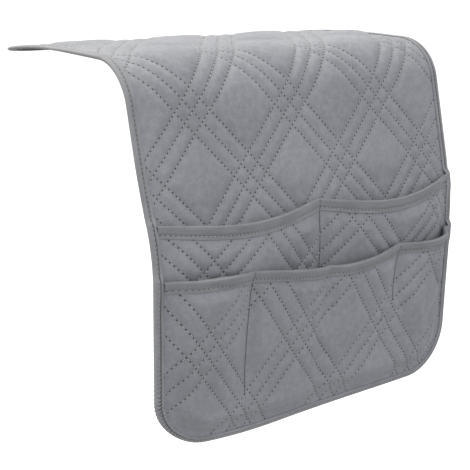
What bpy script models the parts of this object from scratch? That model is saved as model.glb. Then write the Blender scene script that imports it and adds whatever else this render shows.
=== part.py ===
"""Sofa armrest organizer: a quilted cloth caddy that drapes over the arm of a sofa.

A top panel lies on the armrest and follows its crown, a shoulder bends over the armrest's edge,
and a hanging panel carries two rows of pockets. Every layer of cloth is a solid of its own: face,
wadding and backing of the base, face, wadding and lining of each pocket row, and the tapes that
are folded over the edges.

The cloth is drawn flat first. u runs across it from the left edge, s runs up it from the bottom
edge, and n is the height of a layer above the back of the cloth. place() then drapes a flat point:
X is the width, the hanging panel faces -Y, +Z is up, and the origin is the middle of the
underside of the top panel's flat stretch, where the organizer lies on the armrest.
"""

import math
from dataclasses import dataclass
from typing import Callable

import bmesh
import bpy
from mathutils import Matrix, Vector

# Overall cloth, in metres
PANEL_WIDTH = 0.320
CORNER_RADIUS = 0.045

# Drape, from the bottom edge up: straight, eased into a lean, straight, round the shoulder, a flat
# seat on the armrest, and down the armrest's crown to the far edge
HANG_LENGTH = 0.143
LEAN_ANGLE = math.radians(15)
LEAN_RADIUS = 0.134
LEAN_LENGTH = 0.090
SHOULDER_RADIUS = 0.039
SEAT_LENGTH = 0.050
CROWN_LENGTH = 0.130
CROWN_ANGLE = math.radians(12.3)

# The bottom left corner hangs a little short, because its tape draws it up
CORNER_RISE = 0.012
CORNER_RISE_WIDTH = 0.120
CORNER_RISE_HEIGHT = 0.100
CORNER_RISE_STEPS = 5

# Layers
BACKING = 0.0006
WADDING = 0.0034
WADDING_AT_EDGE = 0.0005
FACE = 0.0006
LINING = 0.0005
POCKET_WADDING = 0.0020
POCKET_WADDING_AT_EDGE = 0.0004
SEAT_GAP = 0.0003
POCKET_ROW_GAP = 0.0006

# Folded tapes
TAPE = 0.0006
EDGE_TAPE_WIDTH = 0.007
MOUTH_TAPE_WIDTH = 0.008
MOUTH_TAPE_GAP = 0.0005
TAPE_MARGIN = 0.001

# How far from a sewn edge the wadding needs to reach its full height, and the back to lie down
PINCH_SPAN = 0.018
LIFT_SPAN = 0.010
SEAM_HALF_WIDTH = 0.003
SEAM_PINCH_SPAN = 0.012

# Quilting: rows of stitching in threes, both ways across the cloth, round large diamonds
QUILT_WIDTH = 0.0933
QUILT_HEIGHT = 0.106
QUILT_LOFT = 0.0022
QUILT_STEPS = 6
QUILT_FADE = 0.014
BASE_QUILT_AT = (0.0506, 0.261)

# Pocket rows
UPPER_MOUTH_LEFT = 0.1845
UPPER_MOUTH_RIGHT = 0.1805
UPPER_SEAM_SHARES = (0.5,)
UPPER_GAPE = 0.0135
UPPER_FLOOR = 0.043
UPPER_LEFT_SAG = 0.008
UPPER_RIGHT_SAG = 0.009
UPPER_QUILT_AT = (0.040, 0.136)
LOWER_MOUTH_LEFT = 0.1455
LOWER_MOUTH_RIGHT = 0.1375
LOWER_SEAM_SHARES = (0.25, 0.75)
LOWER_GAPE = 0.0125
LOWER_FLOOR = 0.020
LOWER_LEFT_SAG = 0.001
LOWER_MIDDLE_SAG = 0.0085
LOWER_RIGHT_SAG = 0.001
LOWER_QUILT_AT = (0.040, 0.080)
GAPE_POWER = 1.5
HIDDEN_STEP = 0.036
MOUTH_RAMP = 0.006

# Grid lines between the rim and the end of a corner, as shares of that distance
CORNER_RING_SHARES = (0.0, 0.27, 0.62, 1.0)
CLOSEST_LINE_SHARE = 0.35
ARC_STEPS = 6
LEAN_ARC_STEPS = 3
CROWN_ARC_STEPS = 3

# Worked out from the sizes above
EDGE = TAPE + SEAT_GAP
RIM = EDGE_TAPE_WIDTH + TAPE_MARGIN
MOUTH_RIM = MOUTH_TAPE_WIDTH + TAPE_MARGIN
SHOULDER_ANGLE = math.pi / 2 - LEAN_ANGLE
LEAN_START = HANG_LENGTH
LEAN_END = LEAN_START + LEAN_RADIUS * LEAN_ANGLE
FOLD_LOW = LEAN_END + LEAN_LENGTH
FOLD_HIGH = FOLD_LOW + SHOULDER_RADIUS * SHOULDER_ANGLE
SEAT_END = FOLD_HIGH + SEAT_LENGTH
CLOTH_LENGTH = SEAT_END + CROWN_LENGTH
UPPER_MOUTH = max(UPPER_MOUTH_LEFT, UPPER_MOUTH_RIGHT)
LOWER_MOUTH = max(LOWER_MOUTH_LEFT, LOWER_MOUTH_RIGHT)
DRAPE = (
    (HANG_LENGTH, 0.0),
    (LEAN_RADIUS * LEAN_ANGLE, LEAN_ANGLE),
    (LEAN_LENGTH, 0.0),
    (SHOULDER_RADIUS * SHOULDER_ANGLE, SHOULDER_ANGLE),
    (SEAT_LENGTH, 0.0),
    (CROWN_LENGTH, CROWN_ANGLE),
)


def ease(share: float) -> float:
    """Smooth step from 0 to 1."""
    share = min(max(share, 0.0), 1.0)
    return share * share * (3 - 2 * share)


def drape_frame(s: float) -> tuple[float, float, float]:
    """Follow the draped back of the cloth up from the bottom edge: (y, z, slope of the cloth)."""
    y, z, slope, left = 0.0, 0.0, math.pi / 2, s
    for length, turn in DRAPE:
        run = min(left, length)
        if turn:
            radius = length / turn
            after = slope - run / radius
            y += radius * (math.sin(slope) - math.sin(after))
            z += radius * (math.cos(after) - math.cos(slope))
            slope = after
        else:
            y += run * math.cos(slope)
            z += run * math.sin(slope)
        left -= run
    return y, z, slope


ORIGIN_Y, ORIGIN_Z, _ = drape_frame(FOLD_HIGH + SEAT_LENGTH / 2)


def corner_rise(u: float, s: float) -> float:
    """How far the cloth near the bottom left corner is drawn up."""
    across = max(1 - u / CORNER_RISE_WIDTH, 0.0)
    up = max(1 - s / CORNER_RISE_HEIGHT, 0.0)
    return CORNER_RISE * across ** 2 * up ** 2


def place(u: float, s: float, n: float) -> Vector:
    """Drape a point of the flat cloth."""
    y, z, slope = drape_frame(s + corner_rise(u, s))
    return Vector((
        u - PANEL_WIDTH / 2,
        y - n * math.sin(slope) - ORIGIN_Y,
        z + n * math.cos(slope) - ORIGIN_Z,
    ))


def edge_distance(u: float, s: float) -> float:
    """Distance in from the outline of the flat cloth, a rectangle with round corners."""
    across = abs(u - PANEL_WIDTH / 2) - (PANEL_WIDTH / 2 - CORNER_RADIUS)
    along = abs(s - CLOTH_LENGTH / 2) - (CLOTH_LENGTH / 2 - CORNER_RADIUS)
    outside = math.hypot(max(across, 0.0), max(along, 0.0))
    return CORNER_RADIUS - outside - min(max(across, along), 0.0)


def puff(share: float, row_share: float = 1 / QUILT_STEPS) -> float:
    """Height across one repeat of the quilting: 0 on the three rows of stitching, 1 midway."""
    inner = (share - row_share) / (1 - 2 * row_share)
    return math.sin(math.pi * inner) if 0 < inner < 1 else 0.0


def quilt_loft(u: float, s: float, at: tuple[float, float]) -> float:
    """Loft of the quilting at a point, with one crossing of the stitching rows at `at`."""
    across = (u - at[0]) / QUILT_WIDTH
    along = (s - at[1]) / QUILT_HEIGHT
    return QUILT_LOFT * puff((across + along) % 1.0) * puff((across - along) % 1.0)


def stack(start: float, plies: tuple[float, ...]) -> list[float]:
    """Lower and upper heights of plies laid on each other with the seat gap between them."""
    heights = []
    level = start
    for thickness in plies:
        heights += [level, level + thickness]
        level += thickness + SEAT_GAP
    return heights


def base_layers(u: float, s: float) -> list[float]:
    """Heights of backing, wadding and face of the base panel."""
    inside = edge_distance(u, s) - RIM
    soft = ease(inside / PINCH_SPAN)
    foot = EDGE * (1 - ease(inside / LIFT_SPAN))
    shown = ease((s - UPPER_MOUTH - TAPE_MARGIN) / QUILT_FADE)
    loft = quilt_loft(u, s, BASE_QUILT_AT) * shown
    fill = WADDING_AT_EDGE + (WADDING - WADDING_AT_EDGE + loft) * soft
    return stack(foot, (BACKING, fill, FACE))


@dataclass
class PocketRow:
    """A panel sewn over what lies under it, open at the top, divided by upright seams."""

    name: str
    mouth_left: float
    mouth_right: float
    seams: tuple[float, ...]
    gape: float
    floor: float
    sags: tuple[float, ...]
    quilt_at: tuple[float, float]
    shown_from: float
    rest_gap: float
    under: Callable[[float, float], float]

    def bump(self, u: float) -> tuple[float, float]:
        """How far a mouth stands open at u, 0 at the seams and 1 midway, and how far that mouth
        sags midway."""
        bounds = [RIM - SEAM_HALF_WIDTH, *self.seams, PANEL_WIDTH - RIM + SEAM_HALF_WIDTH]
        for left, right, sag in zip(bounds, bounds[1:], self.sags):
            inner = (u - left - SEAM_HALF_WIDTH) / (right - left - 2 * SEAM_HALF_WIDTH)
            if 0 < inner < 1:
                return math.sin(math.pi * inner), sag
        return 0.0, 0.0

    def mouth(self, u: float) -> float:
        """Height of the mouth edge, which sags between the seams."""
        share = u / PANEL_WIDTH
        level = self.mouth_left + (self.mouth_right - self.mouth_left) * share
        rise, sag = self.bump(u)
        return level - sag * rise

    def mouth_top(self) -> float:
        """Height of the higher end of the mouth edge."""
        return max(self.mouth_left, self.mouth_right)

    def row_height(self, u: float, s: float) -> float:
        """Where a straight grid line goes so that those near the mouth run along it."""
        top = self.mouth_top()
        reach = top - MOUTH_RIM - LIFT_SPAN - CORNER_RADIUS
        share = min(max(s - CORNER_RADIUS, 0.0) / reach, 1.0)
        return s + (self.mouth(u) - top) * share

    def layers(self, u: float, s: float) -> list[float]:
        """Heights of lining, wadding and face of the pocket row."""
        below = self.mouth(u) - s
        soft = ease((edge_distance(u, s) - RIM) / PINCH_SPAN)
        soft *= ease((below - MOUTH_RIM) / PINCH_SPAN)
        for seam in self.seams:
            soft *= ease((abs(u - seam) - SEAM_HALF_WIDTH) / SEAM_PINCH_SPAN)
        rise = max(s - self.floor, 0.0) / (self.mouth_top() - self.floor)
        lift = self.rest_gap + EDGE * (1 - ease((below - MOUTH_RIM) / LIFT_SPAN))
        lift += self.gape * self.bump(u)[0] * rise ** GAPE_POWER
        loft = quilt_loft(u, s, self.quilt_at) * ease((s - self.shown_from) / QUILT_FADE)
        fill = POCKET_WADDING_AT_EDGE + (POCKET_WADDING - POCKET_WADDING_AT_EDGE + loft) * soft
        return stack(self.under(u, s) + lift, (LINING, fill, FACE))

    def top(self, u: float, s: float) -> float:
        """Height of the front of this pocket row."""
        return self.layers(u, s)[-1]


UPPER_ROW = PocketRow(
    name="upper",
    mouth_left=UPPER_MOUTH_LEFT,
    mouth_right=UPPER_MOUTH_RIGHT,
    seams=tuple(share * PANEL_WIDTH for share in UPPER_SEAM_SHARES),
    gape=UPPER_GAPE,
    floor=UPPER_FLOOR,
    sags=(UPPER_LEFT_SAG, UPPER_RIGHT_SAG),
    quilt_at=UPPER_QUILT_AT,
    shown_from=LOWER_MOUTH + TAPE_MARGIN,
    rest_gap=SEAT_GAP,
    under=lambda u, s: base_layers(u, s)[-1],
)
LOWER_ROW = PocketRow(
    name="lower",
    mouth_left=LOWER_MOUTH_LEFT,
    mouth_right=LOWER_MOUTH_RIGHT,
    seams=tuple(share * PANEL_WIDTH for share in LOWER_SEAM_SHARES),
    gape=LOWER_GAPE,
    floor=LOWER_FLOOR,
    sags=(LOWER_LEFT_SAG, LOWER_MIDDLE_SAG, LOWER_RIGHT_SAG),
    quilt_at=LOWER_QUILT_AT,
    shown_from=0.0,
    rest_gap=POCKET_ROW_GAP,
    under=UPPER_ROW.top,
)


def rim_stack(u: float, s: float) -> float:
    """Height of everything that the edge tape folds over, at a point on the rim."""
    height = base_layers(u, s)[-1]
    for row in (UPPER_ROW, LOWER_ROW):
        above = s - row.mouth(u)
        if above < MOUTH_RAMP:
            full = row.top(u, min(s, row.mouth(u) - EDGE))
            height += (full - height) * ease(1 - max(above, 0.0) / MOUTH_RAMP)
    return height


def grid_lines(start: float, end: float, origin: float, step: float, fixed=()) -> list[float]:
    """Lines from start to end: the fixed ones, and the quilting's own where there is room."""
    lines = sorted({start, end, *(line for line in fixed if start < line < end)})
    room = step * CLOSEST_LINE_SHARE
    index = math.ceil((start - origin) / step)
    while origin + index * step < end:
        line = origin + index * step
        if min(abs(line - other) for other in lines) > room:
            lines.append(line)
        index += 1
    return sorted(lines)


def thin_out(lines) -> list[float]:
    """Lines in order, without those that come within the seat gap of the one before."""
    kept = []
    for line in sorted(lines):
        if not kept or line - kept[-1] > SEAT_GAP:
            kept.append(line)
    return kept


def corner_rings() -> list[float]:
    """Distances in from the outline of the grid lines that run round the corners."""
    return [RIM + (CORNER_RADIUS - RIM) * share for share in CORNER_RING_SHARES]


def ring_columns() -> list[float]:
    """Upright grid lines that run round the corners, which is all that a plain layer needs."""
    rings = corner_rings()
    return sorted([EDGE, *rings, *(PANEL_WIDTH - ring for ring in rings), PANEL_WIDTH - EDGE])


def quilt_columns(quilt_at: tuple[float, float], seams=()) -> list[float]:
    """Upright grid lines of a quilted panel."""
    fixed = ring_columns()
    for seam in seams:
        fixed += [seam - SEAM_HALF_WIDTH, seam + SEAM_HALF_WIDTH]
    return grid_lines(EDGE, PANEL_WIDTH - EDGE, quilt_at[0], QUILT_WIDTH / QUILT_STEPS, fixed)


def arc_lines(start: float, end: float, steps: int) -> list[float]:
    """Evenly spaced lines round a bend."""
    return [start + (end - start) * index / steps for index in range(steps + 1)]


def round_corner(u: float, s: float) -> tuple[float, float]:
    """Move a grid point near a square corner onto rings that run round the corner."""
    across = min(u, PANEL_WIDTH - u)
    along = min(s, CLOTH_LENGTH - s)
    if across >= CORNER_RADIUS or along >= CORNER_RADIUS:
        return u, s
    ring = min(across, along)
    turn = (across - along) / (CORNER_RADIUS - ring)
    angle = math.pi / 4 * (1 + turn)
    across = CORNER_RADIUS - (CORNER_RADIUS - ring) * math.cos(angle)
    along = CORNER_RADIUS - (CORNER_RADIUS - ring) * math.sin(angle)
    u = across if u < PANEL_WIDTH / 2 else PANEL_WIDTH - across
    s = along if s < CLOTH_LENGTH / 2 else CLOTH_LENGTH - along
    return u, s


def flat_grid(columns: list[float], rows: list[float]) -> bmesh.types.BMesh:
    """Flat panel with one face between each two neighbouring lines, with round corners."""
    grid = bmesh.new()
    across, along = len(columns) - 1, len(rows) - 1
    bmesh.ops.create_grid(grid, x_segments=across, y_segments=along, size=0.5)
    for vert in grid.verts:
        u = columns[round((vert.co.x + 0.5) * across)]
        s = rows[round((vert.co.y + 0.5) * along)]
        vert.co.x, vert.co.y = round_corner(u, s)
    return grid


def new_object(name: str, shape: bmesh.types.BMesh, material, parent=None):
    """Turn a finished shape into a named object, smooth but for its folded edges."""
    bmesh.ops.recalc_face_normals(shape, faces=shape.faces[:])
    mesh = bpy.data.meshes.new(name)
    shape.to_mesh(mesh)
    shape.free()
    mesh.shade_smooth()
    mesh.set_sharp_from_angle(angle=math.radians(40))
    mesh.materials.append(material)
    item = bpy.data.objects.new(name, mesh)
    bpy.context.collection.objects.link(item)
    if parent is not None:
        item.parent = parent
        item.matrix_parent_inverse = Matrix.Translation(-parent.location)
    return item


def ply(name, columns, rows, layers, index, material, parent=None, follow=None):
    """One layer of cloth: the flat grid, extruded between its lower and upper heights."""
    shape = flat_grid(columns, rows)
    lower = shape.verts[:]
    grown = bmesh.ops.extrude_face_region(shape, geom=shape.faces[:])["geom"]
    upper = [item for item in grown if isinstance(item, bmesh.types.BMVert)]
    for side, verts in enumerate((lower, upper)):
        for vert in verts:
            u, s = vert.co.x, vert.co.y
            if follow is not None:
                s = follow(u, s)
            vert.co = place(u, s, layers(u, s)[2 * index + side])
    return new_object(name, shape, material, parent)


def tape_section(depth: float, back, front) -> list[tuple[float, float]]:
    """Folded tape seen along its edge, as (distance in, height), round the outside and back."""
    return [
        (depth, front(depth) + TAPE),
        (TAPE, front(TAPE) + TAPE),
        (0.0, front(0.0)),
        (0.0, back(0.0)),
        (TAPE, back(TAPE) - TAPE),
        (depth, back(depth) - TAPE),
        (depth, back(depth)),
        (TAPE, back(TAPE)),
        (TAPE, front(TAPE)),
        (depth, front(depth)),
    ]


def add_loft(shape: bmesh.types.BMesh, sections: list[list[Vector]]) -> None:
    """Skin a row of like sections and close its two ends."""
    rings = [[shape.verts.new(point) for point in section] for section in sections]
    for near, far in zip(rings, rings[1:]):
        for index in range(len(near)):
            after = (index + 1) % len(near)
            shape.faces.new((near[index], near[after], far[after], far[index]))
    shape.faces.new(reversed(rings[0]))
    shape.faces.new(rings[-1])


def rim_sections(stations) -> list[list[Vector]]:
    """Sections of the edge tape at stations (u, s, inward u, inward s) on the outline."""
    sections = []
    for u, s, in_u, in_s in stations:
        seat = rim_stack(u + EDGE * in_u, s + EDGE * in_s) + SEAT_GAP
        section = tape_section(EDGE_TAPE_WIDTH, lambda _: TAPE, lambda _: seat)
        sections.append([place(u + d * in_u, s + d * in_s, n) for d, n in section])
    return sections


def side_stations(rows: list[float], right: bool):
    """Stations up one straight side."""
    return [(PANEL_WIDTH, s, -1.0, 0.0) if right else (0.0, s, 1.0, 0.0) for s in rows]


def end_stations(far: bool):
    """Stations along one end, from the left side round both corners to the right side."""
    lines = [EDGE, *corner_rings()]
    turns = [(line - EDGE) / (CORNER_RADIUS - EDGE) for line in lines]
    angles = [math.pi / 4 * (1 - turn) for turn in reversed(turns)]
    angles += [math.pi / 4 * (1 + turn) for turn in turns[1:]]
    corner = [(math.cos(angle), math.sin(angle)) for angle in angles]
    near = []
    for in_u, in_s in corner:
        near.append((CORNER_RADIUS * (1 - in_u), CORNER_RADIUS * (1 - in_s), in_u, in_s))
    if not far:
        inner = arc_lines(CORNER_RADIUS, CORNER_RISE_WIDTH, CORNER_RISE_STEPS)[1:]
        near += [(u, 0.0, 0.0, 1.0) for u in inner]
    for in_u, in_s in reversed(corner):
        near.append((PANEL_WIDTH - CORNER_RADIUS * (1 - in_u), CORNER_RADIUS * (1 - in_s), -in_u, in_s))
    if not far:
        return near
    return [(u, CLOTH_LENGTH - s, in_u, -in_s) for u, s, in_u, in_s in near]


def end_tape(name, rows, far, material, parent=None):
    """Tape folded over two sides and the end between them, as one piece."""
    keep = [s for s in rows if (s < CLOTH_LENGTH - CORNER_RADIUS if far else s > CORNER_RADIUS)]
    up, down = sorted(keep), sorted(keep, reverse=True)
    stations = side_stations(up if far else down, False) + end_stations(far)
    stations += side_stations(down if far else up, True)
    shape = bmesh.new()
    add_loft(shape, rim_sections(stations))
    return new_object(name, shape, material, parent)


def side_tape(name, rows, right, material):
    """Tape folded over one straight side."""
    shape = bmesh.new()
    add_loft(shape, rim_sections(side_stations(rows, right)))
    return new_object(name, shape, material)


def mouth_tape(row: PocketRow, columns: list[float], material, parent):
    """Tape folded over the mouth edge of a pocket row, between the two edge tapes."""
    start = EDGE_TAPE_WIDTH + SEAT_GAP
    inner = [u for u in columns if start < u < PANEL_WIDTH - start]
    sections = []
    for u in [start, *inner, PANEL_WIDTH - start]:
        mouth = row.mouth(u)

        def back(d):
            return row.layers(u, mouth - max(d, EDGE))[0] - SEAT_GAP

        def front(d):
            return row.top(u, mouth - max(d, EDGE)) + MOUTH_TAPE_GAP

        section = tape_section(MOUTH_TAPE_WIDTH, back, front)
        sections.append([place(u, mouth - d, n) for d, n in section])
    shape = bmesh.new()
    add_loft(shape, sections)
    return new_object(f"{row.name}_mouth_binding", shape, material, parent)


def make_material(name: str, colour: tuple[float, float, float], roughness: float, sheen: float):
    """Cloth finish."""
    material = bpy.data.materials.new(name)
    material.use_nodes = True
    shader = material.node_tree.nodes["Principled BSDF"]
    shader.inputs["Base Color"].default_value = (*colour, 1.0)
    shader.inputs["Roughness"].default_value = roughness
    shader.inputs["Metallic"].default_value = 0.0
    shader.inputs["Sheen Weight"].default_value = sheen
    material.diffuse_color = (*colour, 1.0)
    return material


def clear_scene() -> None:
    """Remove whatever the file starts with."""
    for item in list(bpy.data.objects):
        bpy.data.objects.remove(item)


def build_base(zone: str, plain_rows, quilt_rows, finish: dict, parent=None) -> None:
    """Backing, wadding and face of one stretch of the base panel."""
    ply(f"{zone}_backing", ring_columns(), plain_rows, base_layers, 0, finish["backing"], parent)
    columns = quilt_columns(BASE_QUILT_AT, UPPER_ROW.seams)
    for index, layer in enumerate(("wadding", "face_fabric"), 1):
        ply(f"{zone}_{layer}", columns, quilt_rows, base_layers, index, finish[layer], parent)


def build_pockets(row: PocketRow, rows: list[float], finish: dict, parent) -> None:
    """Lining, wadding, face and mouth tape of one pocket row."""
    columns = quilt_columns(row.quilt_at, row.seams)
    for index, layer in enumerate(("lining", "wadding", "face_fabric")):
        name = f"{row.name}_pocket_{layer}"
        ply(name, columns, rows, row.layers, index, finish[layer], parent, row.row_height)
    mouth_tape(row, columns, finish["binding"], parent)


def fold_axis() -> Vector:
    """Point on the axis about which the hanging panel lifts, so that the shoulder keeps its
    length when it is laid flat."""
    half = SHOULDER_ANGLE / 2
    middle = SHOULDER_RADIUS + (BACKING + WADDING + FACE) / 2
    out = SHOULDER_RADIUS * half
    down = middle * (1 - half / math.tan(half))
    return Vector((0.0, -SEAT_LENGTH / 2 - out, middle - SHOULDER_RADIUS - down))


def main() -> None:
    """Build every layer and tape of the organizer."""
    clear_scene()
    finish = {
        "face_fabric": make_material("grey_microfibre", (0.27, 0.275, 0.29), 0.9, 0.35),
        "wadding": make_material("white_wadding", (0.82, 0.82, 0.80), 0.95, 0.0),
        "backing": make_material("charcoal_backing", (0.06, 0.06, 0.065), 0.85, 0.0),
        "lining": make_material("grey_lining", (0.20, 0.205, 0.215), 0.9, 0.1),
        "binding": make_material("grey_binding", (0.24, 0.245, 0.255), 0.85, 0.3),
    }
    fold = bpy.data.objects.new("drape_fold_axis", None)
    fold.location = fold_axis()
    bpy.context.collection.objects.link(fold)

    quilt_row = QUILT_HEIGHT / QUILT_STEPS
    rings = corner_rings()
    half_gap = SEAT_GAP / 2
    ease_lines = arc_lines(LEAN_START, LEAN_END, LEAN_ARC_STEPS)
    far_rings = [CLOTH_LENGTH - ring for ring in rings]

    top_start = FOLD_HIGH + half_gap
    crown_lines = arc_lines(SEAT_END, CLOTH_LENGTH - CORNER_RADIUS, CROWN_ARC_STEPS)[:-1]
    top_plain_rows = sorted({top_start, *crown_lines, *far_rings, CLOTH_LENGTH - EDGE})
    top_fixed = [SEAT_END, *far_rings]
    top_rows = grid_lines(top_start, CLOTH_LENGTH - EDGE, BASE_QUILT_AT[1], quilt_row, top_fixed)
    shoulder_rows = arc_lines(FOLD_LOW + half_gap, FOLD_HIGH - half_gap, ARC_STEPS)
    drop_plain_rows = [EDGE, *rings, *ease_lines, FOLD_LOW - half_gap]
    shown_rows = grid_lines(LEAN_END, FOLD_LOW - half_gap, BASE_QUILT_AT[1], quilt_row)
    drop_rows = sorted({*drop_plain_rows, *shown_rows})

    build_base("top", top_plain_rows, top_rows, finish)
    end_tape("top_edge_binding", top_rows, True, finish["binding"])
    build_base("shoulder", shoulder_rows, shoulder_rows, finish)
    side_tape("shoulder_left_binding", shoulder_rows, False, finish["binding"])
    side_tape("shoulder_right_binding", shoulder_rows, True, finish["binding"])
    build_base("drop", drop_plain_rows, drop_rows, finish, fold)

    hidden_rows = grid_lines(CORNER_RADIUS, LEAN_START, CORNER_RADIUS, HIDDEN_STEP)
    upper_rows = sorted({EDGE, *rings, *hidden_rows, *ease_lines, UPPER_MOUTH - EDGE})
    build_pockets(UPPER_ROW, upper_rows, finish, fold)

    lower_edges = [LOWER_MOUTH - MOUTH_RIM - LIFT_SPAN, LOWER_MOUTH - MOUTH_RIM]
    lower_rows = grid_lines(EDGE, LOWER_MOUTH - EDGE, LOWER_QUILT_AT[1], quilt_row, rings + lower_edges)
    build_pockets(LOWER_ROW, lower_rows, finish, fold)

    mouth_lines = []
    for row in (UPPER_ROW, LOWER_ROW):
        for level in {row.mouth_left, row.mouth_right}:
            mouth_lines += [level + MOUTH_RAMP, level + MOUTH_RAMP / 2, level]
            mouth_lines += [level - MOUTH_RIM, level - MOUTH_RIM - LIFT_SPAN]
    tape_rows = thin_out([*drop_rows, *mouth_lines])
    end_tape("drop_edge_binding", tape_rows, False, finish["binding"], fold)


main()
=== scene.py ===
"""Looks of a quilted sofa armrest organizer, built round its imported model.

The cloth is drawn flat first, as it is cut: u runs across it from the left edge, s runs up it
from the bottom edge, and n is a height above its back. Drape.place() then hangs a flat point
over the armrest: X is the width, the pockets face -Y and +Z is up. Lengths are in metres.
"""

import logging
import math
from dataclasses import dataclass
from enum import Enum
from typing import Callable

import bmesh
import bpy
import numpy as np
from mathutils import Matrix, Vector


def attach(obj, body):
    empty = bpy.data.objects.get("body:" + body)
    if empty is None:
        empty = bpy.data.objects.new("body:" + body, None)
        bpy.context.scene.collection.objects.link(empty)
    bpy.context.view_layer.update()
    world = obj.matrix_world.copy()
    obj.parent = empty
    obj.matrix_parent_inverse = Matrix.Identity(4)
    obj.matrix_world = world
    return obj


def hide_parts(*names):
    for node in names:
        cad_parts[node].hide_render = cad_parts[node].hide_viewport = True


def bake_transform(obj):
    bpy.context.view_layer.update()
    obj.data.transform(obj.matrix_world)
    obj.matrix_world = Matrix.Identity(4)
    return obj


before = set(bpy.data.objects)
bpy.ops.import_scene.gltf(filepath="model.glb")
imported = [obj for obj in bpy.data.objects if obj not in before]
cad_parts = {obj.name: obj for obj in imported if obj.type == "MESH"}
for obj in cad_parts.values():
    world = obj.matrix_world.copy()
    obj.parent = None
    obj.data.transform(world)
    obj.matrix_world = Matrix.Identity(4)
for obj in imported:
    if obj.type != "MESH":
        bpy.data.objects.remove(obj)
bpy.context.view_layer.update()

Field = np.ndarray
Surface = Callable[[Field, Field], Field]
Colour = tuple[float, float, float]
Socket = bpy.types.NodeSocket

MM = 0.001
SEAT_GAP = 0.0002
SECTION_STEP = 0.0006
SAME_PLACE = 1e-7
SMOOTH_BELOW = math.radians(62)
WADDING_RIBS = 0.3

log = logging.getLogger("organizer")


class Body(Enum):
    """The two stiff parts that the cloth is taken to be made of."""

    TOP = "top_panel"
    DROP = "drop_panel"


class Slot(Enum):
    """Material slots of the record."""

    FACE = "face_fabric"
    WADDING = "wadding"
    BACKING = "backing"
    LINING = "lining"
    BINDING = "binding"


def ease(share: Field) -> Field:
    """Smooth step from 0 to 1."""
    share = np.clip(share, 0.0, 1.0)
    return share * share * (3 - 2 * share)


def mix(low: Field, high: Field, share: Field) -> Field:
    """Go from low to high as share goes from 0 to 1."""
    return low + (high - low) * share


# The flat cloth and how it hangs


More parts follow.
